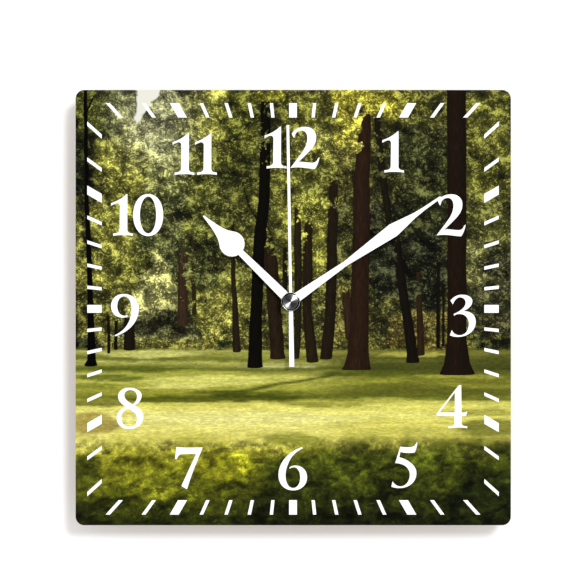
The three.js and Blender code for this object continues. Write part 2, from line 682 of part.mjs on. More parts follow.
const bush = ({ radius, fromZ }, inner, toZ) => ring(radius, inner + FIT, fromZ, toZ, AXIS, 10);
const hourHandBush = () => bush(BUSH.hour, HOUR_PIPE.radius, HOUR.z);
const minuteHandBush = () => bush(BUSH.minute, MINUTE_PIPE.radius, MINUTE.z);
const secondHandTube = () => bush(BUSH.second, ARBOR.radius, SECOND.z);

function secondHandBoss() {
  const { radius, face, height } = BOSS;
  const baseZ = SECOND.z + SECOND.thick;
  const topZ = baseZ + height;
  return turned(
    [
      [0, baseZ],
      [radius, baseZ],
      [radius, topZ - 0.5],
      [radius - 0.2, topZ - 0.2],
      [face, topZ - 0.2],
      [face - 0.15, topZ - 0.35],
      [0, topZ],
    ],
    AXIS,
    40,
  );
}

const PIECES = [
  ["dial_board", dialBoard, fibreboard],
  ["printed_film", printedFilm, print],
  ["hanger_plate", hangerPlate, zincSteel],
  ["rubber_washer", rubberWasher, rubber],
  ["brass_washer", brassWasher, brass],
  ["hex_nut", hexNut, brass],
  ["case_front", caseFront, blackPlastic],
  ["case_rear_cover", caseRearCover, blackPlastic],
  ["gear_plate", gearPlate, whitePlastic],
  ["battery_cell", batteryCell, jacket],
  ["battery_positive_cap", batteryCap, zincSteel],
  ["contact_positive", contactPositive, zincSteel],
  ["contact_negative_spring", contactNegativeSpring, zincSteel],
  ["circuit_board", circuitBoard, laminate],
  ["chip", chip, epoxy],
  ["crystal_can", crystalCan, zincSteel],
  ["coil_bobbin", coilBobbin, whitePlastic],
  ["coil_winding", coilWinding, copper],
  ["coil_core", coilCore, iron],
  ["stator", stator, iron],
  ...STATOR_SCREWS.map(([name, y]) => [name, () => statorScrew(y), zincSteel]),
  ["coil_lead_out", leadOut, copper],
  ["coil_lead_return", leadReturn, copper],
  ["rotor_magnet", rotorMagnet, magnet],
  ["rotor_pinion", rotorPinion, whitePlastic],
  ["intermediate_wheel", intermediateWheel, whitePlastic],
  ["seconds_wheel", secondsWheel, whitePlastic],
  ["seconds_arbor", secondsArbor, zincSteel],
  ["third_wheel", thirdWheel, whitePlastic],
  ["centre_wheel", centreWheel, whitePlastic],
  ["clutch_spring", clutchSpring, brass],
  ["minute_pipe", minutePipe, brass],
  ["hour_wheel", hourWheel, whitePlastic],
  ["motion_wheel", motionWheel, whitePlastic],
  ["setting_knob", settingKnob, blackPlastic],
  ["hour_hand", hourHand, whitePaint],
  ["hour_hand_bush", hourHandBush, brass],
  ["minute_hand", minuteHand, whitePaint],
  ["minute_hand_bush", minuteHandBush, brass],
  ["second_hand", secondHand, whitePaint],
  ["second_hand_tube", secondHandTube, brass],
  ["second_hand_boss", secondHandBoss, chrome],
];

// Takes (x, y, z) as drawn to (x, -z, y): up stays up, and the front turns to -Y
const STAND_UP = new THREE.Matrix4().set(1, 0, 0, 0, 0, 0, -1, 0, 0, 1, 0, 0, 0, 0, 0, 1);

const clock = new THREE.Group();
for (const [name, make, paint] of PIECES) {
  const mesh = new THREE.Mesh(make().applyMatrix4(STAND_UP), paint());
  mesh.name = name;
  clock.add(mesh);
}

export default clock;
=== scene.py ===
"""Looks for a square printed wall clock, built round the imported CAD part.

The clock hangs on a wall in the plane y = 0 and faces -Y. Drawings below are made as a viewer sees
the clock: x to the right, up, and depth out from the wall, all in millimetres. STAND_UP turns them
into the frame's metres.
"""

import math

import bmesh
import bpy
import numpy as np
from mathutils import Matrix, Vector


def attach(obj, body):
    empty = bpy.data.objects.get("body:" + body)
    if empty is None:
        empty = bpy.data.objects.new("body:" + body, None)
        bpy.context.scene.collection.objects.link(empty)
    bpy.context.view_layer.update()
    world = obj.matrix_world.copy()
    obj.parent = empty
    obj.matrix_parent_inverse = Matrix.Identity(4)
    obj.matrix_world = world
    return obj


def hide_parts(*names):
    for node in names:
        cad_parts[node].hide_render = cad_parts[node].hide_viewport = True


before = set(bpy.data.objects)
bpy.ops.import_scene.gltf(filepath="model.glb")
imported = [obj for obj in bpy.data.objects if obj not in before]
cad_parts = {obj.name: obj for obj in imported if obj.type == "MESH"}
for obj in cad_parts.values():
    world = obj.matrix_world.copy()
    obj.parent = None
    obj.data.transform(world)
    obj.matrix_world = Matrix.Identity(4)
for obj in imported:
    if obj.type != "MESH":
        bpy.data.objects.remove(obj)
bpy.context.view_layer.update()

MM = 0.001
# Depths out from the wall, in mm
BOARD_BACK, BOARD_FRONT = 17.4, 22.4
PRINT_FRONT = 22.7
INK = 0.05
# The board: its centre against the hands' axis, its half side and its corner radius
BOARD_X, BOARD_UP, BOARD_HALF, CORNER = 1.45, -3.4, 125.0, 5.0
PRINT_INSET = 0.12
HOLE = 3.9
# The hands and their boss: depths are those of the rear faces
HOUR = {"angle": 314.5, "length": 70.4, "depth": 26.0, "thick": 0.5, "hub": 5.1, "bore": 2.45}
MINUTE = {"angle": 55.1, "length": 105.0, "depth": 28.0, "thick": 0.5, "hub": 5.3, "bore": 1.65}
SECOND = {
    "angle": 359.05, "length": 101.0, "depth": 30.0, "thick": 0.3, "hub": 2.4, "bore": 0.55, "tail": 37.2,
}
BOSS = {"base": 30.3, "top": 32.7, "radius": 5.2, "face": 4.7}
# The rear
KNOB_AT = (8.4, 0.0)
COVER_SINK = 0.25
BATTERY = {"up": -19.0, "depth": 7.5}

# How bright a white diffuse surface is under the lights below: colours are divided by it
EXPOSURE = 1.43


# ---------------------------------------------------------------- colours and node materials
def linear(red, green, blue):
    """An sRGB colour in 0..255 as linear light."""
    values = []
    for channel in (red, green, blue):
        c = channel / 255
        values.append(c / 12.92 if c <= 0.04045 else ((c + 0.055) / 1.055) ** 2.4)
    return tuple(values)


def paint(red, green, blue):
    """The base colour that shows as this sRGB colour when lit."""
    return tuple(min(0.92, c / EXPOSURE) for c in linear(red, green, blue))


class Nodes:
    """A node material written top to bottom in the order that its nodes are worked out."""

    def __init__(self, name):
        self.material = bpy.data.materials.new(name)
        self.material.use_nodes = True
        self.tree = self.material.node_tree
        self.tree.nodes.clear()

    def put(self, socket, value):
        if isinstance(value, bpy.types.NodeSocket):
            self.tree.links.new(value, socket)
        elif value is not None:
            socket.default_value = (*value, 1.0) if socket.type == "RGBA" else value

    def add(self, kind, inputs=(), **settings):
        node = self.tree.nodes.new("ShaderNode" + kind)
        for key, value in settings.items():
            setattr(node, key, value)
        for key, value in dict(inputs).items():
            self.put(node.inputs[key], value)
        return node

    def maths(self, operation, a, b=None, c=None):
        node = self.add("Math", operation=operation)
        for socket, value in zip(node.inputs, (a, b, c)):
            self.put(socket, value)
        return node.outputs[0]

    def plus(self, a, b):
        return self.maths("ADD", a, b)

    def minus(self, a, b):
        return self.maths("SUBTRACT", a, b)

    def times(self, a, b):
        return self.maths("MULTIPLY", a, b)

    def scaled(self, a, factor, offset):
        """a times the factor, plus the offset."""
        return self.maths("MULTIPLY_ADD", a, factor, offset)

    def size(self, a):
        return self.maths("ABSOLUTE", a)

    def larger(self, a, b):
        return self.maths("MAXIMUM", a, b)

    def vector(self, operation, a, b=None):
        node = self.add("VectorMath", operation=operation)
        self.put(node.inputs[0], a)
        if operation == "SCALE":
            self.put(node.inputs["Scale"], b)
        else:
            self.put(node.inputs[1], b)
        return node.outputs["Value" if operation in ("LENGTH", "DOT_PRODUCT") else "Vector"]

    def stretched(self, place, factors):
        return self.vector("MULTIPLY", place, factors)

    def mix(self, factor, a, b):
        """From colour a to colour b."""
        node = self.add("Mix", data_type="RGBA", clamp_factor=True)
        self.put(node.inputs[0], factor)
        self.put(node.inputs[6], a)
        self.put(node.inputs[7], b)
        return node.outputs[2]

    def lerp(self, factor, a, b):
        node = self.add("Mix", data_type="FLOAT", clamp_factor=True)
        self.put(node.inputs[0], factor)
        self.put(node.inputs[2], a)
        self.put(node.inputs[3], b)
        return node.outputs[0]

    def step(self, value, low, high):
        """A smooth step: 0 at low and 1 at high."""
        inputs = {"Value": value, "From Min": low, "From Max": high}
        return self.add("MapRange", inputs, interpolation_type="SMOOTHSTEP").outputs[0]

    def noise(self, place, scale, detail=3.0, rough=0.5):
        inputs = {"Vector": place, "Scale": scale, "Detail": detail, "Roughness": rough}
        return self.add("TexNoise", inputs, noise_dimensions="3D").outputs["Fac"]

    def cells(self, place, scale):
        return self.add("TexVoronoi", {"Vector": place, "Scale": scale})

    def channels(self, colour):
        """The red, green and blue of a colour socket."""
        return self.add("SeparateColor", {"Color": colour}).outputs

    def place_mm(self):
        """Object coordinates in millimetres."""
        coords = self.add("TexCoord").outputs["Object"]
        return self.vector("MULTIPLY", coords, (1 / MM, 1 / MM, 1 / MM))

    def attribute(self, name):
        """A colour worked out at the mesh's vertices."""
        return self.add("Attribute", attribute_name=name).outputs["Color"]

    def bump(self, height, distance_mm, strength=1.0):
        inputs = {"Height": height, "Distance": distance_mm * MM, "Strength": strength}
        return self.add("Bump", inputs).outputs["Normal"]

    def surface(self, colour, rough, normal=None, metal=0.0, specular=0.5, coat=0.0, tangent=None,
                anisotropic=0.0, turn=0.0):
        inputs = {
            "Base Color": colour,
            "Metallic": metal,
            "Roughness": rough,
            "Specular IOR Level": specular,
            "Coat Weight": coat,
            "Coat Roughness": 0.1,
            "Anisotropic": anisotropic,
            "Anisotropic Rotation": turn,
            "Normal": normal,
            "Tangent": tangent,
        }
        shader = self.add("BsdfPrincipled", {k: v for k, v in inputs.items() if v is not None})
        out = self.add("OutputMaterial")
        self.tree.links.new(shader.outputs[0], out.inputs["Surface"])
        return self.material


# ---------------------------------------------------------------- mesh helpers
STAND_UP = Matrix(((MM, 0, 0, 0), (0, 0, -MM, 0), (0, MM, 0, 0), (0, 0, 0, 1)))


def new_object(name, mesh, material, smooth=30):
    """An object of the mesh, given as drawn, with edges sharper than the angle kept sharp."""
    mesh.transform(STAND_UP)
    mesh.materials.clear()
    mesh.materials.append(material)
    mesh.shade_smooth()
    mesh.set_sharp_from_angle(angle=math.radians(smooth))
    made = bpy.data.objects.new(name, mesh)
    bpy.context.scene.collection.objects.link(made)
    return made


def piece(name, mesh, material, body, slot, *nodes, smooth=30):
    """A shown piece that moves with a body and stands for CAD nodes."""
    made = new_object(name, mesh, material, smooth)
    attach(made, body)
    if nodes:
        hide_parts(*nodes)
    return made


def mesh_of(bm):
    bmesh.ops.recalc_face_normals(bm, faces=bm.faces)
    mesh = bpy.data.meshes.new("made")
    bm.to_mesh(mesh)
    bm.free()
    return mesh


def joined(*meshes):
    """Several meshes as one."""
    bm = bmesh.new()
    for mesh in meshes:
        bm.from_mesh(mesh)
        bpy.data.meshes.remove(mesh)
    return mesh_of(bm)


def arc(x, up, radius, start, end, count=24):
    """Points along an arc, angles in degrees anticlockwise from the right."""
    angles = [math.radians(start + (end - start) * i / count) for i in range(count + 1)]
    return [(x + radius * math.cos(a), up + radius * math.sin(a)) for a in angles]


def circle(radius, x=0.0, up=0.0, count=64):
    return arc(x, up, radius, 0, 360, count)[:-1]


def rounded(left, right, bottom, top, radius, count=10):
    points = arc(right - radius, top - radius, radius, 0, 90, count)
    points += arc(left + radius, top - radius, radius, 90, 180, count)
    points += arc(left + radius, bottom + radius, radius, 180, 270, count)
    return points + arc(right - radius, bottom + radius, radius, 270, 360, count)


def shift(bm, geometry, depth):
    """Moves the vertices among the geometry outwards."""
    verts = [v for v in geometry if isinstance(v, bmesh.types.BMVert)]
    bmesh.ops.translate(bm, verts=verts, vec=(0, 0, depth))


def plate(outlines, back, front, edge=0.0, segments=2):
    """A flat plate with straight outlines, the first one outside and the rest holes, its edges rounded."""
    bm = bmesh.new()
    for outline in outlines:
        corners = [bm.verts.new((x, up, back)) for x, up in outline]
        for a, b in zip(corners, corners[1:] + corners[:1]):
            bm.edges.new((a, b))
    bmesh.ops.triangle_fill(bm, edges=bm.edges[:], use_beauty=True)
    raised = bmesh.ops.extrude_face_region(bm, geom=bm.faces[:])
    shift(bm, raised["geom"], front - back)
    bmesh.ops.recalc_face_normals(bm, faces=bm.faces)
    if edge:
        flat = [f for f in bm.faces if abs(f.normal.z) > 0.9]
        rims = {e for f in flat for e in f.edges if len(e.link_faces) == 2 and e.calc_face_angle(0) > 1}
        bmesh.ops.bevel(bm, geom=list(rims), offset=edge, segments=segments, profile=0.5, affect="EDGES",
                        clamp_overlap=True)
    return mesh_of(bm)


def lathe(profile, steps):
    """A turned piece from (radius, depth) pairs that begin and end on the axis, or close on themselves."""
    bm = bmesh.new()
    rings = []
    for radius, depth in profile:
        if radius < 1e-6:
            rings.append([bm.verts.new((0, 0, depth))])
        else:
            turns = [2 * math.pi * i / steps for i in range(steps)]
            rings.append([bm.verts.new((radius * math.cos(a), radius * math.sin(a), depth)) for a in turns])
    pairs = list(zip(rings, rings[1:]))
    if len(rings[0]) > 1 and len(rings[-1]) > 1:
        pairs.append((rings[-1], rings[0]))
    for a, b in pairs:
        for i in range(steps):
            j = (i + 1) % steps
            if len(a) == 1:
                bm.faces.new((a[0], b[i], b[j]))
            elif len(b) == 1:
                bm.faces.new((a[i], a[j], b[0]))
            else:
                bm.faces.new((a[i], a[j], b[j], b[i]))
    return mesh_of(bm)


def turned_by(mesh, clock_angle):
    """Turned clockwise about the hands' axis."""
    mesh.transform(Matrix.Rotation(-math.radians(clock_angle), 4, "Z"))
    return mesh


# ---------------------------------------------------------------- the printed park
# The picture is laid out in mm from the board's centre. A leaf patch is (left, right, bottom, top, soft
# edge, its colour seen from afar).
LEAVES = [
    (-126, 126, -30, 126, 3, (78, 79, 36)),
    (-126, -98, 92, 126, 6, (74, 77, 32)),
    (-100, -62, 84, 126, 10, (142, 143, 92)),
    (-66, -40, 96, 126, 8, (134, 133, 68)),
    (-42, -22, 84, 126, 8, (86, 88, 36)),
    (-22, -4, 70, 126, 6, (68, 70, 34)),
    (-4, 22, 84, 126, 8, (96, 96, 42)),
    (2, 24, 84, 104, 6, (134, 132, 70)),
    (20, 62, 84, 126, 8, (84, 82, 38)),
    (60, 92, 104, 126, 6, (84, 84, 40)),
    (98, 126, 60, 126, 6, (90, 90, 39)),
    (-128, -108, 60, 100, 6, (30, 34, 13)),
    (-112, -82, 62, 96, 7, (128, 127, 62)),
    (-84, -62, 62, 96, 8, (124, 126, 80)),
    (-64, -40, 62, 88, 7, (104, 105, 52)),
    (-42, -16, 60, 86, 6, (60, 62, 25)),
    (-16, 26, 62, 86, 7, (92, 93, 42)),
    (24, 50, 62, 86, 6, (70, 68, 32)),
    (46, 62, 56, 104, 5, (54, 54, 28)),
    (60, 92, 60, 104, 6, (46, 49, 24)),
    (-126, -90, 14, 64, 6, (118, 117, 56)),
    (-122, -116, 30, 64, 3, (46, 48, 20)),
    (-92, -78, 30, 62, 5, (64, 67, 38)),
    (-80, -60, 18, 62, 6, (76, 79, 48)),
    (-62, -40, 40, 64, 5, (82, 84, 40)),
    (-58, -38, 0, 40, 5, (62, 65, 34)),
    (-40, -20, 0, 60, 6, (92, 93, 44)),
    (-18, 0, 30, 64, 5, (88, 89, 42)),
    (-8, 22, 18, 64, 6, (138, 137, 64)),
    (0, 22, -2, 20, 6, (112, 112, 56)),
    (20, 36, 10, 62, 5, (68, 68, 36)),
    (42, 62, 22, 60, 5, (42, 44, 27)),
    (60, 90, 40, 62, 5, (46, 49, 26)),
    (44, 90, -4, 44, 6, (34, 37, 23)),
    (98, 126, 34, 64, 5, (84, 85, 43)),
    (98, 126, -4, 36, 5, (56, 56, 37)),
    (99, 109, 10, 36, 3, (108, 108, 68)),
    (-126, -96, -14, 16, 5, (90, 89, 42)),
    (-58, -22, -20, 14, 5, (122, 120, 60)),
    (-20, 22, -22, 6, 5, (84, 84, 44)),
    (22, 34, -20, 12, 4, (80, 76, 38)),
    (44, 62, -14, 4, 3, (56, 56, 28)),
    (58, 92, -20, -4, 3, (84, 76, 38)),
    (100, 126, -22, -2, 4, (58, 57, 36)),
    (-120, 126, -25, -17, 2, (92, 90, 42)),
    (-112, -94, -24, -16, 2, (96, 92, 46)),
    (-46, -30, -23, -14, 2, (140, 134, 72)),
    (58, 92, -24, -18, 2, (118, 104, 50)),
    (-126, -112, -36, -16, 3, (26, 28, 14)),
    (-110, -104, -34, -30, 1.5, (52, 56, 20)),
    (-44, -34, -26, -20, 1.5, (56, 66, 30)),
    (102, 126, -34, -18, 4, (34, 38, 18)),
    (46, 66, -34, -29, 1.5, (60, 62, 24)),
]
YELLOW_LEAVES = [
    (24, 62, 110, 128, 4, (150, 144, 56)),
    (24, 36, 95, 112, 4, (160, 154, 66)),
    (33, 38, 88, 97, 2.5, (176, 168, 84)),
    (-20, -3, 120, 128, 2, (150, 146, 54)),
    (62, 76, 116, 127, 4, (112, 110, 44)),
]
# The pale conifer on the left is a cone of its own
CONIFER = {"x": -76.0, "top": 32.0, "bottom": -16.0, "half": 25.0}
# The lawn's colour down the picture, on its left and on its right
LAWN_LEFT = [
    (-22, (112, 112, 48)), (-25, (184, 182, 90)), (-28.5, (108, 110, 40)), (-31.5, (178, 178, 84)),
    (-35.5, (96, 102, 28)), (-40, (198, 196, 92)), (-47, (160, 160, 58)), (-52, (112, 116, 30)),
    (-54.5, (196, 190, 80)), (-58, (234, 227, 116)), (-68, (238, 231, 128)), (-75, (222, 214, 104)),
    (-82, (172, 168, 52)), (-90, (142, 142, 30)), (-104, (88, 92, 15)), (-116, (57, 62, 9)),
    (-126, (42, 47, 7)),
]
LAWN_RIGHT = [
    (-22, (84, 84, 36)), (-26, (124, 122, 46)), (-30, (78, 80, 28)), (-36, (72, 76, 22)),
    (-42, (126, 127, 40)), (-47, (98, 100, 30)), (-51, (96, 99, 28)), (-54, (190, 185, 78)),
    (-57, (232, 226, 112)), (-68, (222, 214, 102)), (-74, (190, 184, 80)), (-80, (114, 118, 36)),
    (-87, (74, 82, 15)), (-100, (58, 65, 11)), (-115, (37, 42, 7)), (-126, (25, 29, 4)),
]
# Streaks of sun and shade on it: (centre, height, half length, half depth, colour)
STREAKS = [
    (-82, -26.5, 30, 1.6, (204, 204, 112)), (-60, -29.8, 45, 0.7, (112, 116, 40)),
    (-90, -31.5, 24, 0.9, (196, 196, 100)), (-20, -27.5, 30, 1.3, (150, 154, 62)),
    (74, -27.5, 22, 1.5, (178, 174, 74)), (62, -31, 30, 1.0, (96, 100, 34)),
    (-5, -33.6, 24, 0.45, (196, 194, 140)), (-100, -35.5, 40, 1.5, (92, 100, 26)),
    (-60, -38, 34, 1.4, (170, 172, 66)), (-100, -40.5, 30, 1.6, (96, 106, 26)),
    (-46, -42.5, 36, 3.2, (216, 214, 108)), (-66, -45.5, 22, 1.0, (228, 224, 122)),
    (-112, -45, 18, 1.6, (130, 134, 44)), (52, -38.5, 44, 1.8, (84, 92, 24)),
    (96, -39.5, 26, 1.4, (154, 154, 54)), (40, -42.5, 30, 1.2, (150, 152, 50)),
    (110, -45, 22, 1.4, (140, 140, 48)), (-20, -48.5, 40, 1.2, (84, 92, 20)),
    (-84, -49.6, 34, 0.8, (150, 150, 50)), (-50, -53.2, 58, 1.9, (72, 80, 12)),
    (-14, -51, 30, 1.5, (64, 72, 10)), (54, -50.5, 50, 1.8, (92, 100, 26)),
    (96, -53, 34, 1.5, (108, 112, 32)), (-108, -55, 20, 2.2, (124, 124, 44)),
    (20, -55.4, 30, 1.2, (150, 150, 52)), (-30, -63, 80, 3.4, (238, 232, 140)),
    (60, -62, 44, 2.2, (232, 226, 122)), (-112, -66, 16, 6.5, (168, 150, 70)),
    (110, -60, 20, 3.0, (170, 166, 70)), (112, -69, 18, 5.0, (122, 122, 42)),
    (0, -76, 20, 4.0, (150, 150, 56)), (-90, -92, 16, 8.0, (124, 124, 26)),
    (-120, -94, 14, 11, (66, 70, 14)), (-85, -102, 14, 9, (122, 124, 26)),
    (-38, -92, 20, 8.0, (146, 146, 28)), (112, -110, 24, 18, (30, 36, 6)),
    (-120, -122, 12, 10, (34, 38, 6)),
]
# Trunks from the back to the front: colour, the height above which leaves hide it more and more, how much
# they hide at most, then (centre, height, half width) up or down the trunk
TRUNKS = [
    ((58, 42, 28), -6, 0.8, [(-62.5, 46, 2.4), (-63.6, 0, 3.0), (-63.4, -10, 3.0)]),
    ((44, 38, 22), -6, 0.8, [(-57.4, 40, 1.0), (-57, -4, 1.3)]),
    ((40, 34, 20), 36, 1, [(2.2, 70, 1.2), (2.7, 35, 2.3), (2.7, 0, 2.2), (2.0, -29, 1.6)]),
    ((40, 34, 22), 14, 1, [(-4.8, 34, 1.3), (-4.7, 0, 1.5)]),
    ((54, 37, 24), 4, 1, [(29.5, 14, 2.0), (32.5, -18, 2.6)]),
    ((40, 32, 20), 20, 1, [(-35.2, 50, 1.0), (-34, 10, 1.4), (-32.3, -25.5, 2.4)]),
    ((42, 31, 19), 24, 1, [(-15.5, 46, 2.6), (-12.6, 26, 3.7), (-9.2, -26, 4.1), (-8.8, -29, 4.6)]),
    ((30, 26, 15), 62, 0.8, [
        (41, 126, 1.5), (48, 112, 1.7), (50.5, 82, 2.0), (53.6, 60, 2.0), (56, 40, 1.8),
    ]),
    ((36, 28, 17), 44, 1, [(24.0, 84, 2.0), (22.8, 60, 2.8), (21.6, 0, 3.1), (19.0, -29.5, 3.5)]),
    ((40, 31, 18), 22, 1, [(8.6, 56, 2.2), (8.4, 20, 2.8), (7.8, 0, 2.6), (10.8, -31, 3.4)]),
    ((26, 20, 14), 16, 1, [
        (58, 50, 2.2), (61.5, 18, 2.5), (64.5, 0, 2.7), (68.3, -27, 3.2), (68.6, -31.5, 4.0),
    ]),
    ((48, 33, 21), 4, 1, [(72, 20, 1.4), (73.2, -27, 2.2)]),
    ((24, 20, 14), 20, 1, [(83.2, 38, 0.9), (83.2, -23, 1.1)]),
    ((26, 22, 14), 10, 1, [(86.4, 28, 0.7), (86.1, -22, 0.8)]),
    ((24, 20, 12), -12, 1, [(-106, 0, 0.8), (-106, -26, 0.9)]),
    ((24, 20, 12), -12, 1, [(-101.8, 0, 0.9), (-101.8, -24, 1.0)]),
    ((30, 26, 16), -12, 1, [(-94, 0, 2.6), (-94, -24, 3.4)]),
    ((26, 24, 12), 96, 0.3, [(-17.5, 114, 0.6), (-27, 104, 0.5), (-34, 96, 0.35), (-38, 90, 0.25)]),
    ((24, 20, 12), 70, 0.42, [(-30.5, 76, 0.35), (-27.5, 66, 0.5), (-25.5, 58, 0.6), (-20.5, 50, 0.8)]),
    ((20, 18, 10), 118, 0.3, [(-112, 127, 0.5), (-118.5, 112, 0.7)]),
    ((19, 16, 11), 70, 0.42, [
        (-15.5, 134, 2.5), (-15.8, 100, 2.9), (-16.5, 64, 3.2), (-19.1, 39, 3.5), (-21.3, 0, 3.4),
        (-21.8, -30, 4.1), (-21.8, -34.2, 4.6),
    ]),
    ((46, 30, 19), 110, 0.5, [
        (41.5, 116, 3.0), (39.8, 80, 4.4), (38.6, 73, 5.0), (39.2, 68, 4.8), (39, 35, 4.9),
        (38, 0, 5.3), (37.2, -26, 6.1), (36.6, -33, 7.4), (36.2, -35.8, 8.8),
    ]),
    ((34, 23, 15), 140, 0, [
        (93.7, 134, 5.5), (93.9, 20, 5.5), (93.9, -18, 5.6), (94, -32, 7.4), (94.2, -38, 10.2),
    ]),
    ((14, 12, 9), 140, 0, [
        (-119.4, 134, 0.9), (-118.4, 60, 1.3), (-116.3, 0, 1.7), (-115.9, -30, 2.5), (-116.4, -33.5, 4.0),
    ]),
]


def lattice_noise(x, up, size, seed):
    """Smooth noise in 0..1 with features of the given size."""
    values = np.random.default_rng(seed).random((64, 64))
    u, v = x / size + 1000.37, up / size + 1000.71
    i, j = np.floor(u).astype(int), np.floor(v).astype(int)
    fu, fv = u - i, v - j
    fu, fv = fu * fu * (3 - 2 * fu), fv * fv * (3 - 2 * fv)

    def row(b):
        return values[i % 64, (j + b) % 64] * (1 - fu) + values[(i + 1) % 64, (j + b) % 64] * fu

    return row(0) * (1 - fv) + row(1) * fv


def cloud(x, up, size, seed, octaves=3):
    """Several sizes of lattice noise laid over one another."""
    total, weight, amount = 0, 0, 1.0
    for octave in range(octaves):
        total = total + amount * lattice_noise(x, up, size / 2**octave, seed + octave)
        weight += amount
        amount *= 0.55
    return total / weight


def sway(x, up, size, seed, octaves=3):
    """A cloud from -0.5 to 0.5."""
    return cloud(x, up, size, seed, octaves) - 0.5


def smooth(t):
    t = np.clip(t, 0, 1)
    return t * t * (3 - 2 * t)


def patch(x, up, left, right, bottom, top, soft):
    """How far inside the patch each point is, from 0 to 1."""
    dx = np.maximum(left - x, x - right)
    dz = np.maximum(bottom - up, up - top)
    outside = np.hypot(np.maximum(dx, 0), np.maximum(dz, 0))
    inside = np.minimum(np.maximum(dx, dz), 0)
    return smooth(0.5 - (outside + inside) / soft)


def blend_in(field, weight, colour):
    field += weight[:, None] * (np.array(linear(*colour))[None, :] - field)


def leaf_lights(colour):
    """The colour of a leaf patch's shade and of its lit leaves."""
    red, green, blue = colour
    return (red, green, 0.86 * blue), (1.5 * red + 44, 1.53 * green + 41, 1.34 * blue + 30)


def downward(up, stops):
    """A colour that changes with height, from (height, colour) stops."""
    heights = [-height for height, _ in stops]
    colours = np.array([linear(*colour) for _, colour in stops])
    return np.stack([np.interp(-up, heights, colours[:, k]) for k in range(3)], axis=1)


def leafy(tone, glow, weight, colour):
    shade, lit = leaf_lights(colour)
    blend_in(tone, weight, shade)
    blend_in(glow, weight, lit)


def conifer(x, up):
    """How far inside the feathery conifer each point is, and inside its dark foot."""
    down = (CONIFER["top"] - up) / (CONIFER["top"] - CONIFER["bottom"])
    wide = CONIFER["half"] * np.clip(down, 0, 1) ** 1.1 + 1.0
    fringe = 9 * sway(x, up, 6, 91) + 3 * sway(x, up, 2.5, 95)
    cone = smooth(0.5 - (np.abs(x - CONIFER["x"] + 2) - wide + fringe) / 2.5) * smooth((1.1 - down) * 7)
    cone *= smooth((down + 0.08 + 0.02 * fringe) * 12)
    return cone, 0.95 * cone * smooth((down - 0.58 + 0.006 * (x - CONIFER["x"])) * 5)


def misty_sky(x, up):
    """A wedge of sky in the upper left."""
    edge_noise = 5 * sway(x, up, 6, 61)
    left_side = -90.5 + 0.05 * (up - 105)
    right_side = np.interp(up, [103, 112, 126], [-91, -85.5, -75.5])
    outside = np.maximum(left_side - x, x - right_side) + edge_noise
    return smooth(0.5 - outside / 3.5) * smooth((up - 101) / 5)


def park_leaves(x, up):
    """The leaves' colour in shade and where lit, and where the leaves in front of the trunks are."""
    tone, glow = np.zeros((len(x), 3)), np.zeros((len(x), 3))
    # Leaf patches have wandering edges
    wx = x + 14 * sway(x, up, 15, 11) + 6 * sway(x, up, 4, 51)
    wz = up + 14 * sway(x, up, 15, 31) + 6 * sway(x, up, 4, 71)
    for *place, colour in LEAVES:
        leafy(tone, glow, patch(wx, wz, *place), colour)
    cone, foot = conifer(x, up)
    leafy(tone, glow, cone, (160, 158, 108))
    leafy(tone, glow, foot, (38, 40, 24))
    in_front = np.zeros(len(x))
    for *place, colour in YELLOW_LEAVES:
        weight = patch(wx, wz, *place)
        leafy(tone, glow, weight, colour)
        in_front = np.maximum(in_front, weight * (colour[0] > 140))
    # Haze round the sky
    haze = smooth(1.2 - np.hypot((x + 80) * 0.85, (up - 112) * 0.7) / 26)
    blend_in(tone, 0.5 * haze, (172, 172, 138))
    blend_in(glow, 0.6 * haze, (214, 213, 182))
    # Whole boughs are lighter or darker, lit on top and dark beneath
    mass = cloud(x * 0.85, up * 1.2, 12, 47, 4)
    above = cloud(x * 0.85 + 1.5, (up + 4) * 1.2, 12, 47, 4)
    bough = np.exp2(2.2 * (mass - 0.5) + 3.6 * (mass - above))[:, None]
    return tone * bough, glow * np.sqrt(bough), in_front


def park_lawn(x, up):
    """Where the lawn is, where its near grass is, and its colour."""
    # Stops down the picture, then long low streaks
    gx = x + 26 * sway(x * 0.5, up * 1.5, 16, 13)
    gz = up + 3.4 * sway(x * 0.14, up, 5, 17) + 1.2 * sway(x * 0.4, up, 2.2, 27)
    lawn = smooth((-23.6 - up - 0.8 * sway(x, up, 5, 19)) / 1.0)
    tufts = gz + smooth((-66 - up) / 8) * 11 * sway(x, up, 7, 37)
    middle = 22 - 50 * smooth((-76 - up) / 14)
    side = smooth((gx - middle) / 45 + 0.5)[:, None]
    ground = downward(tufts, LAWN_LEFT) * (1 - side) + downward(tufts, LAWN_RIGHT) * side
    for centre, height, length, depth, colour in STREAKS:
        reach = np.hypot((gx - centre) / length, (gz - height) / depth)
        blend_in(ground, 0.9 * smooth((1.15 - reach) / 0.4), colour)
    # The big trunk's shadow runs to the lower left
    along = np.clip((29 - x) / 76, 0, 1)
    streak = smooth(1 - np.abs(up + 37.4 + 13 * along**0.9 + 0.5 * (gz - up)) / (1.3 + 0.8 * along))
    blend_in(ground, streak * smooth(along * 9) * smooth((1.0 - along) * 4) * 0.95, (66, 76, 14))
    # Foreground grass, out of focus: lit clumps and dark gaps
    near = smooth((-73.0 - up + 8 * sway(x, up, 7, 37)) / 8)
    fade = np.clip(1.15 - (-up - 76) / 60, 0.25, 1)
    lit = smooth((cloud(x, up * 1.5, 9, 41, 4) - 0.52) * 7) * near * fade * smooth((-78 - up) / 10)
    ground *= np.exp2(1.4 * lit)[:, None]
    dark = smooth((0.47 - cloud(x * 0.8, up * 1.5, 7, 43, 4)) * 8) * near
    ground *= np.exp2(-1.5 * dark)[:, None]
    return lawn, near, ground


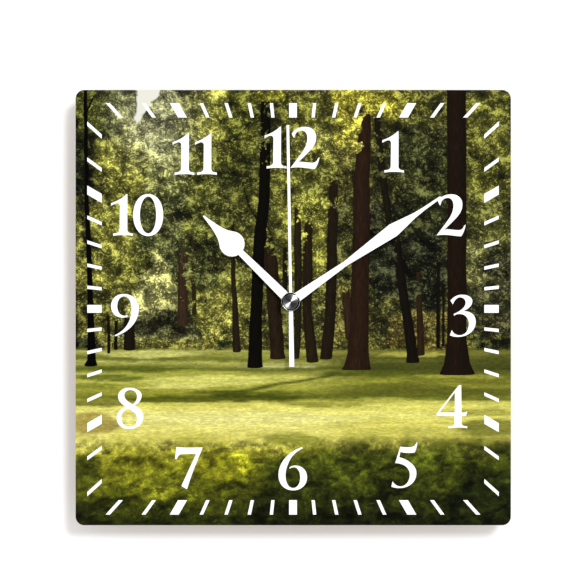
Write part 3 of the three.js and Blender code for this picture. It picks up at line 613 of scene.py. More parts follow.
def park_trunks(x, up):
    """The distance to the bark's edge, its colour, the place across it and how hidden it is."""
    distance = np.full(len(x), 9.0)
    bark = np.zeros((len(x), 3))
    across = np.zeros(len(x))
    hidden = np.zeros(len(x))
    for number, (colour, bare, most, line) in enumerate(TRUNKS):
        centres, heights, halves = np.array(sorted(line, key=lambda stop: stop[1])).T
        wander = 0.6 * (lattice_noise(up * 0 + 3, up, 11, 100 + number) - 0.5)
        centre = np.interp(up, heights, centres) + wander
        half = np.interp(up, heights, halves)
        aside = np.abs(x - centre) - half
        beyond = np.maximum(np.maximum(up - heights[-1], heights[0] - up), 0)
        here = np.where(beyond > 0, np.hypot(np.maximum(aside, 0), beyond), aside)
        leafed = np.clip((up - bare) / max(8.0, heights[-1] - bare), 0, most)
        closer = (here < 0) | (distance > 0) & ((here < 0.6) | (here < distance))
        bark[closer] = linear(*colour)
        across[closer] = np.clip((x - centre) / half, -1, 1)[closer]
        hidden[closer] = leafed[closer]
        distance = np.where(closer, here, distance)
    return distance, bark, across, hidden


def park(x, up):
    """The picture's fields at points x, up in mm from the board's centre."""
    tone, glow, in_front = park_leaves(x, up)
    lawn, near, ground = park_lawn(x, up)
    tone += lawn[:, None] * (ground - tone)
    glow += lawn[:, None] * (ground * 1.25 - glow)
    distance, bark, across, hidden = park_trunks(x, up)
    return {
        "tone": tone / EXPOSURE,
        "glow": glow / EXPOSURE,
        "bark": np.maximum(bark - 0.003, 0.0004) / EXPOSURE,
        "marks": np.stack([distance / 8, across * 0.5 + 0.5, misty_sky(x, up)], axis=1),
        "kinds": np.stack([lawn, near, np.maximum(hidden, in_front)], axis=1),
    }


def rounded_grid(half, radius, cells):
    """A square grid's places and quads, the ones at its corners drawn in to quarter discs."""
    line = np.linspace(-half, half, cells + 1)
    x, up = np.meshgrid(line, line, indexing="xy")
    x, up = x.ravel(), up.ravel()
    side = half - radius
    u, v = (np.abs(x) - side) / radius, (np.abs(up) - side) / radius
    at_corner = (u > 0) & (v > 0)
    length = np.where(at_corner, np.hypot(u, v), 1)
    reach = np.where(at_corner, np.maximum(u, v), 0)
    x = np.where(at_corner, np.sign(x) * (side + radius * reach * u / length), x)
    up = np.where(at_corner, np.sign(up) * (side + radius * reach * v / length), up)
    index = np.arange((cells + 1) ** 2).reshape(cells + 1, cells + 1)
    quads = np.stack([index[:-1, :-1], index[:-1, 1:], index[1:, 1:], index[1:, :-1]], axis=-1).reshape(-1, 4)
    return x, up, quads


def print_front():
    """The print's front: a grid of about 1 mm without the squares over the bushing's hole."""
    x, up, quads = rounded_grid(BOARD_HALF - PRINT_INSET, CORNER - PRINT_INSET, 250)
    x, up = x + BOARD_X, up + BOARD_UP
    from_axis = np.hypot(x[quads].mean(axis=1), up[quads].mean(axis=1))
    quads = quads[from_axis > HOLE]
    used = np.unique(quads)
    renumber = np.full(len(x), -1)
    renumber[used] = np.arange(len(used))
    places = np.stack([x[used], up[used], np.full(len(used), PRINT_FRONT)], axis=1)
    mesh = bpy.data.meshes.new("park_print")
    mesh.from_pydata(places.tolist(), [], renumber[quads].tolist())
    return mesh


def print_sheet():
    """A thin rounded sheet with a round hole, its picture held by its vertices."""
    bm = bmesh.new()
    mesh = print_front()
    bm.from_mesh(mesh)
    bpy.data.meshes.remove(mesh)
    rim = [e for e in bm.edges if e.is_boundary]
    for vert in {v for e in rim for v in e.verts}:
        r = math.hypot(vert.co.x, vert.co.y)
        if r < 2 * HOLE:
            vert.co.x *= HOLE / r
            vert.co.y *= HOLE / r
    walls = bmesh.ops.extrude_edge_only(bm, edges=rim)["geom"]
    shift(bm, walls, BOARD_FRONT - PRINT_FRONT)
    behind = [e for e in bm.edges if e.is_boundary]
    bmesh.ops.triangle_fill(bm, edges=behind, use_beauty=False)
    mesh = mesh_of(bm)
    spots = np.zeros(len(mesh.vertices) * 3)
    mesh.vertices.foreach_get("co", spots)
    x, up, _ = spots.reshape(-1, 3).T
    for name, values in park(x - BOARD_X, up - BOARD_UP).items():
        layer = mesh.color_attributes.new(name, "FLOAT_COLOR", "POINT")
        layer.data.foreach_set("color", np.concatenate([values, np.ones((len(values), 1))], axis=1).ravel())
    return mesh


def leaf_clumps(n, place):
    """Bent coordinates, the noise of the clumps, and how lit each leaf is in powers of two."""
    curl = n.add("TexNoise", {"Vector": place, "Scale": 0.16, "Detail": 1.0}).outputs["Color"]
    bent = n.vector("ADD", place, n.vector("SCALE", n.vector("SUBTRACT", curl, (0.5, 0.5, 0.5)), 6.0))
    hanging = n.stretched(bent, (1.0, 1.0, 0.8))
    clump = n.noise(hanging, 0.13, 5.0, 0.54)
    over = n.noise(n.vector("ADD", hanging, (0.6, 0.0, 1.5)), 0.13, 5.0, 0.54)
    light = n.scaled(n.minus(clump, 0.47), 8.0, n.times(n.minus(clump, over), 5.0))
    specks = n.noise(n.stretched(place, (1.0, 1.0, 1.25)), 1.15, 2.0, 0.7)
    light = n.scaled(n.minus(specks, 0.5), 5.0, light)
    for size, strength in ((0.42, 1.7), (0.9, 2.2)):
        dabs = n.cells(n.stretched(bent, (1.0, 1.0, 1.3)), size)
        random = n.channels(dabs.outputs["Color"])[0]
        body = n.step(dabs.outputs["Distance"], 0.75, 0.2)
        dab = n.times(n.minus(n.times(random, body), 0.36), strength)
        light = n.plus(light, dab)
    return bent, clump, light


def leaf_colour(n, tone, clump, light, sky):
    shade = n.vector("SCALE", tone, n.maths("MINIMUM", n.maths("POWER", 2.0, light), 1.8))
    lit = n.times(n.step(light, 0.1, 1.9), 0.9)
    leaves = n.mix(lit, shade, n.attribute("glow"))
    misty = n.plus(sky, n.times(n.minus(clump, 0.5), -1.2))
    return n.mix(n.step(misty, 0.25, 0.8), leaves, paint(243, 241, 228))


def lawn_colour(n, place, bent, light, near, tone):
    """Fine grain drawn out sideways, and soft clumps where the grass is near."""
    blades = n.noise(n.stretched(place, (0.28, 1.0, 1.0)), 1.1, 4.0, 0.75)
    streaks = n.noise(n.stretched(place, (0.12, 1.0, 1.0)), 0.55, 4.0, 0.55)
    grain = n.scaled(n.minus(blades, 0.5), 2.8, n.times(n.minus(streaks, 0.5), 1.5))
    tuft = n.noise(n.stretched(bent, (0.7, 1.0, 1.1)), 0.3, 4.0, 0.55)
    tuft_light = n.scaled(n.minus(tuft, 0.5), 4.0, n.times(n.minus(light, 0.2), 0.34))
    grain = n.lerp(near, grain, tuft_light)
    return n.vector("SCALE", tone, n.maths("POWER", 2.0, grain))


def trunk_cover(n, place, distance, clump, light, hidden):
    """Where bark shows: inside a rough edge and not behind the boughs."""
    ragged = n.times(n.minus(n.noise(place, 0.7, 3.0, 0.6), 0.5), 0.09)
    inside = n.step(n.plus(distance, ragged), 0.03, -0.03)
    boughs = n.scaled(n.minus(clump, 0.5), 4.2, n.times(light, 0.09))
    boughs = n.times(boughs, n.step(hidden, 0.02, 0.3))
    bare = n.step(n.plus(hidden, boughs), 0.68, 0.44)
    return n.times(inside, bare)


def bark_colour(n, place, across):
    """Bark drawn out upwards, darker round the sides."""
    furrow = n.noise(n.stretched(place, (1.0, 1.0, 0.14)), 1.1, 4.0, 0.65)
    turn = n.size(n.minus(n.times(across, 2.0), 0.85))
    round_off = n.minus(1.12, n.times(turn, 0.42))
    depth = n.times(n.minus(furrow, 0.5), 3.4)
    light = n.times(n.maths("POWER", 2.0, depth), round_off)
    return n.vector("SCALE", n.attribute("bark"), light)


def print_material():
    n = Nodes("printed_park")
    place = n.place_mm()
    lawn, near, hidden = n.channels(n.attribute("kinds"))
    distance, across, sky = n.channels(n.attribute("marks"))
    bent, clump, light = leaf_clumps(n, place)
    tone = n.attribute("tone")
    leaves = leaf_colour(n, tone, clump, light, sky)
    turf = lawn_colour(n, place, bent, light, near, tone)
    colour = n.mix(lawn, leaves, turf)
    bark = trunk_cover(n, place, distance, clump, light, hidden)
    colour = n.mix(bark, colour, bark_colour(n, place, across))
    sheen = n.scaled(n.noise(place, 0.05, 2.0), 0.12, 0.42)
    pores = n.bump(n.noise(place, 6.0, 2.0), 0.01, 0.3)
    return n.surface(colour, sheen, normal=pores, specular=0.04)


def white_ink():
    n = Nodes("white_ink")
    place = n.place_mm()
    cloudy = n.noise(place, 0.8, 3.0)
    colour = n.mix(cloudy, (0.86, 0.86, 0.86), (0.9, 0.9, 0.9))
    rough = n.scaled(cloudy, 0.1, 0.4)
    return n.surface(colour, rough, normal=n.bump(n.noise(place, 5.0, 2.0), 0.01, 0.3), specular=0.25)


# ---------------------------------------------------------------- numerals and the minute track
# Each figure's outline, in hundredths of its height from its lower left
FIGURES = {
    "1": """M 39.8 100 L 39.6 16 C 39.8 9 44 6.6 52.5 6.4 L 52.8 0.6 C 44 2.2 36 2.6 29 2.6 C 21 2.6 14
        2.2 6 0.6 L 5.7 6.4 C 15 6.6 20.6 9 21 16 L 21.8 70 C 21.8 77 18 79.5 12 77.5 C 8 76 4 74 1
        72 L 0.8 78.3 C 12 82 26 88 37.5 99.5 Z""",
    "2": """M 3.3 82.5 C 8 92 20 99 35 99 C 50 99 61 90 61 75 C 61 62 55 53 48 45 C 38 34 28 25 18.5
        15.8 C 27 17.5 38 15.5 49 14.6 C 58 14 62 17 65.3 25.2 L 69 27.5 C 67 18 64 8 58 0 C 45 0.5
        30 3.6 18 3.6 C 10 3.6 5 3 0 2 C 6 10 20 28 29 41 C 36 51 40 62 40 73 C 40 84 34 90.5 27
        90.5 C 19 90.5 12.5 85 11 79 C 10.5 76.5 9.5 74 8.4 72.5 Z""",
    "3": """M 2.2 86 C 8 94 18 100 29 100 C 43 100 54 94 54 85 C 54 75 45 66 31.5 60.8 C 48 62.5 62 53
        62 36 C 62 14 42 0.3 20 0.3 C 12 0.3 5 1.5 0.7 4.6 L 5.7 16.7 C 8.5 9 15 4.3 24 4.3 C 37 4.3
        45.5 16 45.5 31 C 45.5 46 36 54.5 24 54.5 C 18.5 54.5 14 53 10.5 50.2 L 10 54.6 C 24 60 38
        70 38 81 C 38 88.5 32 93.8 25 93.8 C 17.5 93.8 11.5 87 7.9 77 Z""",
    "4": """M 51 100 L 57 100.5 L 57.6 37.6 C 63 37.3 68 38 71 41 L 68 29.6 L 57.6 29.2 L 57.6 13 C 57.8
        8 63 6 71 5.6 L 70.6 1.4 C 63 2.6 56 3 49 3 C 42 3 35 2.6 28 1.4 L 26.6 5.6 C 35 6 41 8 41.2
        13 L 41.3 29.2 L 0.7 29.8 L 0 34.5 Z M 42.2 83.5 L 7.5 37.6 L 42 37.6 Z""",
    "5": """M 19.8 90.5 C 30 89.3 38 88.6 45 90 C 50 91 53 95 55.8 100.3 L 57 99.8 C 56.4 92 54.5 84 51
        77.8 C 42 76 30 76 20.2 79 L 17.6 67.5 C 24 66 32 63 39 58 C 49 51 55 43 55 33 C 55 13 38
        0.3 18 0.3 C 11 0.3 5 1.5 0.4 3.5 L 3.2 15 C 7 8.5 13 4.2 20 4.2 C 32 4.2 40.5 16 40.5 29 C
        40.5 43 30 54 8.8 54.8 Z""",
    "6": """M 55.8 100.3 L 57.2 97 C 44 91.5 33 82 27 70 C 22 60 17.2 48 17.2 35 C 17.2 18 24 5.8 34.5
        5.8 C 45 5.8 51 17 51 30 C 51 43 45.5 53.6 36.5 53.6 C 33 53.6 29.5 52.3 26.8 50 L 26.2 53.2
        C 30 56.2 34.5 57.8 39.5 57.8 C 55 57.8 66.8 47 66.8 30.5 C 66.8 13 53 0.3 35 0.3 C 14 0.3
        0.8 15 0.8 36 C 0.8 63 22 90 55.8 100.3 Z""",
    "7": """M 3.3 99.8 C 14 98.4 22 98.2 30 98.2 L 64.6 98.6 L 62.5 93 C 50 64 38 34 29.2 5 C 28.6 3 28
        1.8 27 1.6 L 15.2 8.8 C 15.6 11 16.5 13 17.5 15 L 49 83 C 36 83.6 22 84 14 82.6 C 8.5 81.6
        6.5 76 3.8 70.8 L 0 71.8 Z""",
    "8": """M 31 100 C 14 100 4 91 4 79 C 4 68 12 61 22 54.5 C 9 49 0.6 40 0.6 27 C 0.6 11 13 0.2 31 0.2
        C 50 0.2 65 12 65 30 C 65 43 57 51 44.5 57 C 54 63 61 71 61 81.5 C 61 92 48 100 31 100 Z M
        33.5 94.3 C 43 94.3 49.6 88 49.6 79 C 49.6 71 46 65 39.5 60 C 28 66 19.2 73 19.2 82 C 19.2
        89.5 25 94.3 33.5 94.3 Z M 28 49.5 C 40 44 49.8 37 49.8 25 C 49.8 14 42.5 6 31.5 6 C 20.5 6
        11.8 15 11.8 27.5 C 11.8 37.5 18 46 28 49.5 Z""",
    "9": """M 10.5 2.2 L 11.4 -0.3 C 46 10 67.6 36 67.6 64.5 C 67.6 86 53 100.2 32 100.2 C 14 100.2 1.6
        88 1.6 71.5 C 1.6 55 13 43.8 29 43.8 C 34 43.8 38 45 41.4 47 L 40.6 49.8 C 38 49 35.5 48.6
        33 48.6 C 23 48.6 16.5 58 16.5 71.5 C 16.5 85 23.5 94.3 32.5 94.3 C 42.5 94.3 50.2 83 50.2
        66 C 50.2 37 38 14.5 10.5 2.2 Z""",
    "0": """M 35.7 100 C 13 100 0 77 0 50 C 0 22 14 0 35.7 0 C 58 0 71.4 23 71.4 50 C 71.4 78 58 100
        35.7 100 Z M 35.7 94 C 47 94 54.5 74 54.5 50 C 54.5 24 46 6.6 35.7 6.6 C 24.5 6.6 16 26 16
        50 C 16 74 24.5 94 35.7 94 Z""",
}
# Where each figure stands, from the board's centre: figure, left, foot and height
DIAL = [
    ("1", -16.7, 79.6, 24.4), ("2", -1.7, 79.6, 24.4),
    ("1", 50.9, 77.3, 24.0),
    ("2", 82.2, 40.9, 24.4),
    ("3", 89.7, -16.9, 24.3),
    ("4", 82.2, -69.6, 25.0),
    ("5", 56.2, -103.7, 26.4),
    ("6", -8.7, -105.0, 24.9),
    ("7", -67.9, -104.6, 24.7),
    ("8", -101.5, -69.8, 23.8),
    ("9", -105.0, -16.4, 24.2),
    ("1", -104.8, 41.0, 24.2), ("0", -91.9, 41.0, 24.2),
    ("1", -69.5, 76.0, 24.2), ("1", -56.6, 76.0, 24.2),
]
TRACK = {"x": -0.13, "up": -0.72, "inner": 109.8, "outer": 118.1, "hour": 2.25, "minute": 0.93}


def bezier(a, b, c, d, count=14):
    """Points along a cubic curve, without its start."""
    spots = []
    for i in range(1, count + 1):
        t = i / count
        s = 1 - t
        weights = (s**3, 3 * s * s * t, 3 * s * t * t, t**3)
        spots.append(tuple(sum(w * p[k] for w, p in zip(weights, (a, b, c, d))) for k in (0, 1)))
    return spots


def figure_outlines(text, left, foot, height):
    """The closed outlines of a figure, its curves cut into short straight lines."""
    outlines, words = [], iter(text.split())

    def point():
        return (left + float(next(words)) * height / 100, foot + float(next(words)) * height / 100)

    for word in words:
        if word == "M":
            outlines.append([point()])
        elif word == "L":
            outlines[-1].append(point())
        elif word == "C":
            outlines[-1] += bezier(outlines[-1][-1], point(), point(), point(), 12)
    for outline in outlines:
        if math.dist(outline[0], outline[-1]) < 1e-6:
            outline.pop()
    return outlines


def numerals():
    parts = []
    for figure, left, foot, height in DIAL:
        outlines = figure_outlines(FIGURES[figure], left + BOARD_X, foot + BOARD_UP, height)
        parts.append(plate(outlines, PRINT_FRONT - INK, PRINT_FRONT + INK))
    return joined(*parts)


def minute_track():
    """Sixty marks in a square, each along a ray from the middle and cut parallel to its side."""
    parts = []
    for minute in range(60):
        half = TRACK["hour"] if minute % 5 == 0 else TRACK["minute"]
        side = round(minute / 15) % 4
        # Drawn for the top side, then turned to the mark's own side
        lean = math.radians(6 * minute - 90 * round(minute / 15))
        spread = half / math.cos(lean)
        corners = []
        for height in (TRACK["inner"], TRACK["outer"]):
            middle = height * math.tan(lean)
            ends = [(middle - spread, height), (middle + spread, height)]
            corners += ends if height == TRACK["inner"] else ends[::-1]
        turn = -math.radians(90 * side)
        cos, sin = math.cos(turn), math.sin(turn)
        corners = [(BOARD_X + TRACK["x"] + x * cos - y * sin, BOARD_UP + TRACK["up"] + x * sin + y * cos)
                   for x, y in corners]
        parts.append(plate([corners], PRINT_FRONT - INK, PRINT_FRONT + INK))
    return joined(*parts)


# ---------------------------------------------------------------- board, hands and boss
def board_material():
    n = Nodes("lacquered_fibreboard")
    place = n.place_mm()
    depth = n.add("SeparateXYZ", {"Vector": place}).outputs[1]
    fibres = n.noise(place, 0.9, 5.0, 0.65)
    flecks = n.noise(n.stretched(place, (1.0, 1.0, 0.35)), 2.6, 3.0, 0.6)
    brown = n.mix(fibres, linear(142, 110, 78), linear(176, 142, 104))
    brown = n.mix(n.step(flecks, 0.56, 0.66), brown, linear(116, 84, 56))
    edge = n.mix(fibres, linear(206, 206, 202), linear(222, 222, 219))
    rear = n.step(depth, -BOARD_BACK - 0.25, -BOARD_BACK - 0.1)
    colour = n.mix(rear, edge, brown)
    rough = n.lerp(rear, 0.5, 0.85)
    return n.surface(colour, rough, normal=n.bump(flecks, 0.05, 0.5), specular=0.3)


def board():
    side = BOARD_HALF
    outline = [(x + BOARD_X, up + BOARD_UP) for x, up in rounded(-side, side, -side, side, CORNER, 16)]
    return plate([outline, circle(HOLE, count=48)], BOARD_BACK, BOARD_FRONT, 0.3)


def white_paint():
    n = Nodes("white_paint")
    place = n.place_mm()
    ripple = n.noise(place, 1.2, 3.0)
    colour = n.mix(ripple, (0.88, 0.88, 0.875), (0.91, 0.91, 0.905))
    rough = n.scaled(ripple, 0.08, 0.36)
    return n.surface(colour, rough, normal=n.bump(n.noise(place, 3.0, 3.0), 0.02, 0.4), specular=0.35)


def hub_outline(points, radius):
    """An outline drawn up one side of a hand, over its tip and down the other, closed round its hub."""
    right, left = points[0], points[-1]
    start = math.degrees(math.atan2(left[1], left[0]))
    end = math.degrees(math.atan2(right[1], right[0])) + 360
    return points + arc(0, 0, radius, start, end, 40)[1:-1]


def hand(outline, dims, edge, around=40):
    """A hand cut from sheet, with the hole for its pipe, turned to its clock angle."""
    front = dims["depth"] + dims["thick"]
    mesh = plate([outline, circle(dims["bore"], count=around)], dims["depth"], front, edge)
    return turned_by(mesh, dims["angle"])


def both_sides(right, dims):
    """The whole outline of a hand from the points up its right side."""
    left = [(-x, y) for x, y in reversed(right)]
    return hub_outline(right + [(0, dims["length"])] + left, dims["hub"])


def hour_hand():
    """A tapering stem, a round spade and a drawn-out tip."""
    disc, middle, neck, tip, foot = 7.2, 47.2, 1.85, 0.5, 2.67
    enter = math.degrees(math.atan2(-math.sqrt(disc**2 - neck**2), neck))
    shoulder = 0.62
    x, y = disc * math.cos(shoulder), middle + disc * math.sin(shoulder)
    right = [(foot, math.sqrt(HOUR["hub"] ** 2 - foot**2))]
    right += arc(0, middle, disc, enter, math.degrees(shoulder), 36)
    right += bezier((x, y), (x - 2.3, y + 3), (2, middle + 10.5), (tip, HOUR["length"] - 0.4))
    return hand(both_sides(right, HOUR), HOUR, 0.1)


def minute_hand():
    """A stem with a long lozenge and a needle tip."""
    foot = 2.75
    right = [(foot, math.sqrt(MINUTE["hub"] ** 2 - foot**2))]
    right += [(1.45, 38), (3.9, 71.6), (1.5, 86), (0.95, 93), (0.65, MINUTE["length"] - 0.5)]
    return hand(both_sides(right, MINUTE), MINUTE, 0.1)


def second_hand():
    """A narrow blade over the hub and a wider tail under it."""
    length, tail, hub = SECOND["length"], SECOND["tail"], SECOND["hub"]
    above = math.degrees(math.acos(0.88 / hub))
    below = math.degrees(math.acos(1.13 / hub))
    outline = [(0.84, 3), (0.77, length), (-0.77, length), (-0.84, 3)]
    outline += arc(0, 0, hub, 180 - above, 180 + below, 12)
    outline += [(-1.18, -3), (-1.43, -tail), (1.43, -tail), (1.18, -3)]
    outline += arc(0, 0, hub, -below, above, 12)
    return hand(outline, SECOND, 0.06, 24)


def boss():
    """A turned cap: a rounded rim, a groove and a face that rises a little to its middle."""
    base, top, radius, face = BOSS["base"], BOSS["top"], BOSS["radius"], BOSS["face"]
    rim = 0.25
    profile = [(0, base), (radius - 0.15, base), (radius, base + 0.15), (radius, top - 0.55)]
    profile += [(radius - rim + x, top - 0.45 + y) for x, y in arc(0, 0, rim, 0, 180, 6)]
    profile += [(face - 0.1, top - 0.5), (face - 0.3, top - 0.32)]
    profile += [(r, top - rim * (r / face) ** 2) for r in (3.6, 2.7, 1.8, 0.9, 0.3)]
    profile += [(0, top)]
    return lathe(profile, 128)


def turned_chrome():
    n = Nodes("turned_chrome")
    place = n.place_mm()
    flat = n.stretched(place, (1.0, 0.0, 1.0))
    radius = n.vector("LENGTH", flat)
    rings = n.add("TexNoise", {"W": n.times(radius, 9.0), "Scale": 1.0, "Detail": 3.0},
                  noise_dimensions="1D").outputs["Fac"]
    tangent = n.add("Tangent", direction_type="RADIAL", axis="Y").outputs[0]
    face = n.step(radius, 4.5, 4.4)
    rough = n.lerp(face, 0.12, n.scaled(rings, 0.12, 0.3))
    # A near-black ring is painted into the base colour at the groove: painted shade in the recess.
    groove = n.step(n.size(n.minus(radius, 4.5)), 0.22, 0.1)
    colour = n.mix(rings, (0.62, 0.62, 0.64), (0.8, 0.8, 0.82))
    colour = n.mix(groove, colour, (0.1, 0.1, 0.11))
    return n.surface(colour, rough, normal=n.bump(rings, 0.01, 0.2), metal=1.0, tangent=tangent,
                     anisotropic=n.times(face, 0.97), turn=0.25)


# ---------------------------------------------------------------- the movement and the fittings
def near(n, value, centre, half):
    """1 where the value is within half of the centre."""
    soft = 0.06
    away = n.size(n.minus(value, centre))
    return n.step(away, half + soft, half - soft)


def moulded(name, dark, light, rough, grain=3.0):
    n = Nodes(name)
    place = n.place_mm()
    flow = n.noise(place, 0.12, 3.0)
    pits = n.noise(place, grain, 3.0, 0.6)
    colour = n.mix(flow, dark, light)
    shine = n.scaled(pits, 0.16, rough)
    return n.surface(colour, shine, normal=n.bump(pits, 0.03, 0.5), specular=0.4)


def rolled(name, base, tint, rough, stretch=(1.0, 1.0, 1.0), spangle=0.0):
    """Plated or rolled metal with drawn-out scratches, and crystals of zinc where asked."""
    n = Nodes(name)
    place = n.place_mm()
    scratches = n.noise(n.vector("MULTIPLY", place, stretch), 2.4, 4.0, 0.65)
    colour = n.mix(n.noise(place, 0.15, 3.0), base, tint)
    crystals = n.channels(n.cells(place, 0.4).outputs["Color"])[0]
    colour = n.vector("SCALE", colour, n.scaled(crystals, spangle, 1.0 - spangle / 2))
    shine = n.scaled(scratches, 0.22, rough)
    return n.surface(colour, shine, normal=n.bump(scratches, 0.012, 0.5), metal=1.0)


def wound_wire():
    n = Nodes("enamelled_copper")
    place = n.place_mm()
    up = n.add("SeparateXYZ", {"Vector": place}).outputs[2]
    turns = n.maths("SINE", n.times(up, 2 * math.pi / 0.25))
    # Each turn is painted lighter on its crest and darker between turns: painted highlight and painted shade.
    light = n.scaled(turns, 0.5, 0.5)
    colour = n.mix(light, (0.42, 0.18, 0.08), (0.76, 0.4, 0.2))
    return n.surface(colour, 0.3, normal=n.bump(turns, 0.05, 0.8), metal=0.9, coat=0.3)


def circuit_laminate():
    """Green laminate with the copper tracks showing through."""
    n = Nodes("circuit_laminate")
    place = n.place_mm()
    x, _, up = n.add("SeparateXYZ", {"Vector": place}).outputs
    wander = n.times(n.noise(place, 0.2, 1.0), 3.0)
    tracks = n.maths("SINE", n.times(n.plus(x, n.plus(up, wander)), 2.6))
    weave = n.noise(n.stretched(place, (4.0, 1.0, 1.0)), 2.0, 2.0)
    colour = n.mix(weave, (0.03, 0.16, 0.06), (0.05, 0.22, 0.09))
    colour = n.mix(n.step(tracks, 0.35, 0.5), colour, (0.09, 0.36, 0.12))
    return n.surface(colour, 0.4, normal=n.bump(n.step(tracks, 0.3, 0.55), 0.03, 0.6), coat=0.2)


def battery_wrap():
    """A printed jacket with a copper-coloured end, plus and minus signs, and bare steel ends."""
    n = Nodes("battery_wrap")
    place = n.place_mm()
    x, depth, up = n.add("SeparateXYZ", {"Vector": place}).outputs
    across = near(n, up, BATTERY["up"], 0.42)
    level = near(n, up, BATTERY["up"], 2.0)
    plus = n.larger(n.times(across, near(n, x, 19.0, 2.0)), n.times(level, near(n, x, 19.0, 0.42)))
    minus = n.times(across, near(n, x, -20.0, 2.0))
    sign = n.times(n.larger(plus, minus), n.step(depth, -7.7, -7.3))
    sign = n.larger(sign, near(n, x, 12.6, 0.3))
    copper = n.step(x, 13.4, 13.6)
    steel = n.step(n.size(x), 24.3, 24.45)
    flake = n.noise(place, 6.0, 2.0)
    colour = n.mix(flake, (0.02, 0.03, 0.04), (0.045, 0.06, 0.075))
    colour = n.mix(copper, colour, n.mix(flake, (0.5, 0.26, 0.1), (0.62, 0.34, 0.14)))
    colour = n.mix(sign, colour, (0.85, 0.85, 0.83))
    colour = n.mix(steel, colour, (0.66, 0.66, 0.67))
    gloss = n.scaled(n.noise(place, 0.4, 3.0), 0.12, 0.22)
    metal = n.larger(steel, n.times(copper, n.minus(0.8, sign)))
    return n.surface(colour, gloss, normal=n.bump(flake, 0.01, 0.3), metal=metal, coat=0.3)


def softened(node, width, shortest=0.0, sink=0.0):
    """A copy of a CAD node's mesh in mm, its sharp edges rounded and its rear face sunk a little."""
    bm = bmesh.new()
    bm.from_mesh(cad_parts[node].data)
    bmesh.ops.transform(bm, matrix=STAND_UP.inverted(), verts=bm.verts)
    bmesh.ops.remove_doubles(bm, verts=bm.verts, dist=1e-3)
    bmesh.ops.dissolve_limit(bm, angle_limit=math.radians(0.5), verts=bm.verts, edges=bm.edges)
    for vert in bm.verts:
        vert.co.z = max(vert.co.z, sink)
    sharp = [e for e in bm.edges
             if len(e.link_faces) == 2 and e.calc_face_angle(0) > 0.5 and e.calc_length() > shortest]
    bmesh.ops.bevel(bm, geom=sharp, offset=width, segments=2, profile=0.5, affect="EDGES", clamp_overlap=True)
    return mesh_of(bm)


def raised(*outlines):
    return plate(outlines, 0.0, COVER_SINK + 0.1, 0.04, 1)


def cross(x, up, half, thin):
    corners = [(thin, half), (thin, thin), (half, thin), (half, -thin), (thin, -thin), (thin, -half)]
    return [(x + a, up + b) for a, b in corners + [(-a, -b) for a, b in corners]]


def turn_arrow(start, end):
    """A curved arrow round the knob, which turns either way."""
    x, up = KNOB_AT
    head = [(x + r * math.cos(math.radians(a)), up + r * math.sin(math.radians(a)))
            for r, a in ((10.1, end), (9.0, end + 13), (7.9, end))]
    return arc(x, up, 9.3, start, end, 20) + head + arc(x, up, 8.7, end, start, 20)


def rear_cover():
    """The cover with raised marks: two turn arrows, plus and minus, a bare frame and four moulding rings."""
    marks = [raised(turn_arrow(205, 315)), raised(turn_arrow(25, 135))]
    marks += [raised(cross(22.5, -8.4, 1.6, 0.3)), raised(rounded(-24.1, -20.9, -8.7, -8.1, 0.1))]
    marks.append(raised(rounded(-22.5, -4.5, 7, 20, 1.2), rounded(-21.9, -5.1, 7.6, 19.4, 0.7)))
    marks += [raised(circle(1.7, x, 23.4, 32), circle(1.35, x, 23.4, 32)) for x in (-12.0, 2.0, 12.0, 22.5)]
    return joined(softened("case_rear_cover", 0.25, 1.0, COVER_SINK), *marks)


def knob():
    """A knurled disc with a raised ring and a bar to turn it by."""
    outline = []
    for i in range(240):
        angle = 2 * math.pi * i / 240
        r = 5.2 - 0.3 * max(0.0, math.cos(20 * angle)) ** 2
        outline.append((r * math.cos(angle), r * math.sin(angle)))
    mesh = joined(plate([outline], 0.4, 2.3, 0.12), plate([circle(4.7), circle(4.1)], 0.2, 0.6, 0.08),
                  plate([rounded(-0.7, 0.7, -3.5, 3.5, 0.5)], 0.2, 0.6, 0.1))
    mesh.transform(Matrix.Translation((*KNOB_AT, 0)))
    return mesh


def along_x(mesh):
    """Turned from the depth axis to x, onto the battery's axis."""
    lie = Matrix(((0, 0, 1, 0), (1, 0, 0, BATTERY["up"]), (0, 1, 0, BATTERY["depth"]), (0, 0, 0, 1)))
    mesh.transform(lie)
    return mesh


def battery():
    """The can: a dished rear end, the jacket rolled over both rims and a shoulder round the cap."""
    rear = [(0, -24.4), (5.2, -24.4), (5.5, -24.55), (6.5, -24.55), (6.85, -24.4), (7.0, -24.05)]
    rim = [(7.0, 24.1), (6.85, 24.45), (6.5, 24.6), (5.4, 24.6), (5.1, 24.3)]
    shoulder = [(3.2, 24.3), (2.9, 24.5), (0, 24.5)]
    return along_x(lathe(rear + rim + shoulder, 96))


def battery_cap():
    profile = [(0, 24.5), (2.75, 24.5), (2.75, 25.6), (2.62, 25.85), (2.3, 25.95), (0, 25.95)]
    return along_x(lathe(profile, 64))


# ---------------------------------------------------------------- build the pieces
ink = white_ink()
paint_white = white_paint()
piece("park_print", print_sheet(), print_material(), "clock_body", "printed_vinyl", "printed_film")
piece("dial_numerals", numerals(), ink, "clock_body", "printed_vinyl", smooth=25)
piece("minute_marks", minute_track(), ink, "clock_body", "printed_vinyl", smooth=25)
piece("clock_board", board(), board_material(), "clock_body", "fibreboard", "dial_board")
piece("hour_blade", hour_hand(), paint_white, "hours", "white_aluminium", "hour_hand")
piece("minute_blade", minute_hand(), paint_white, "minutes", "white_aluminium", "minute_hand")
piece("second_blade", second_hand(), paint_white, "seconds", "white_aluminium", "second_hand")
piece("boss_cap", boss(), turned_chrome(), "seconds", "chrome", "second_hand_boss")

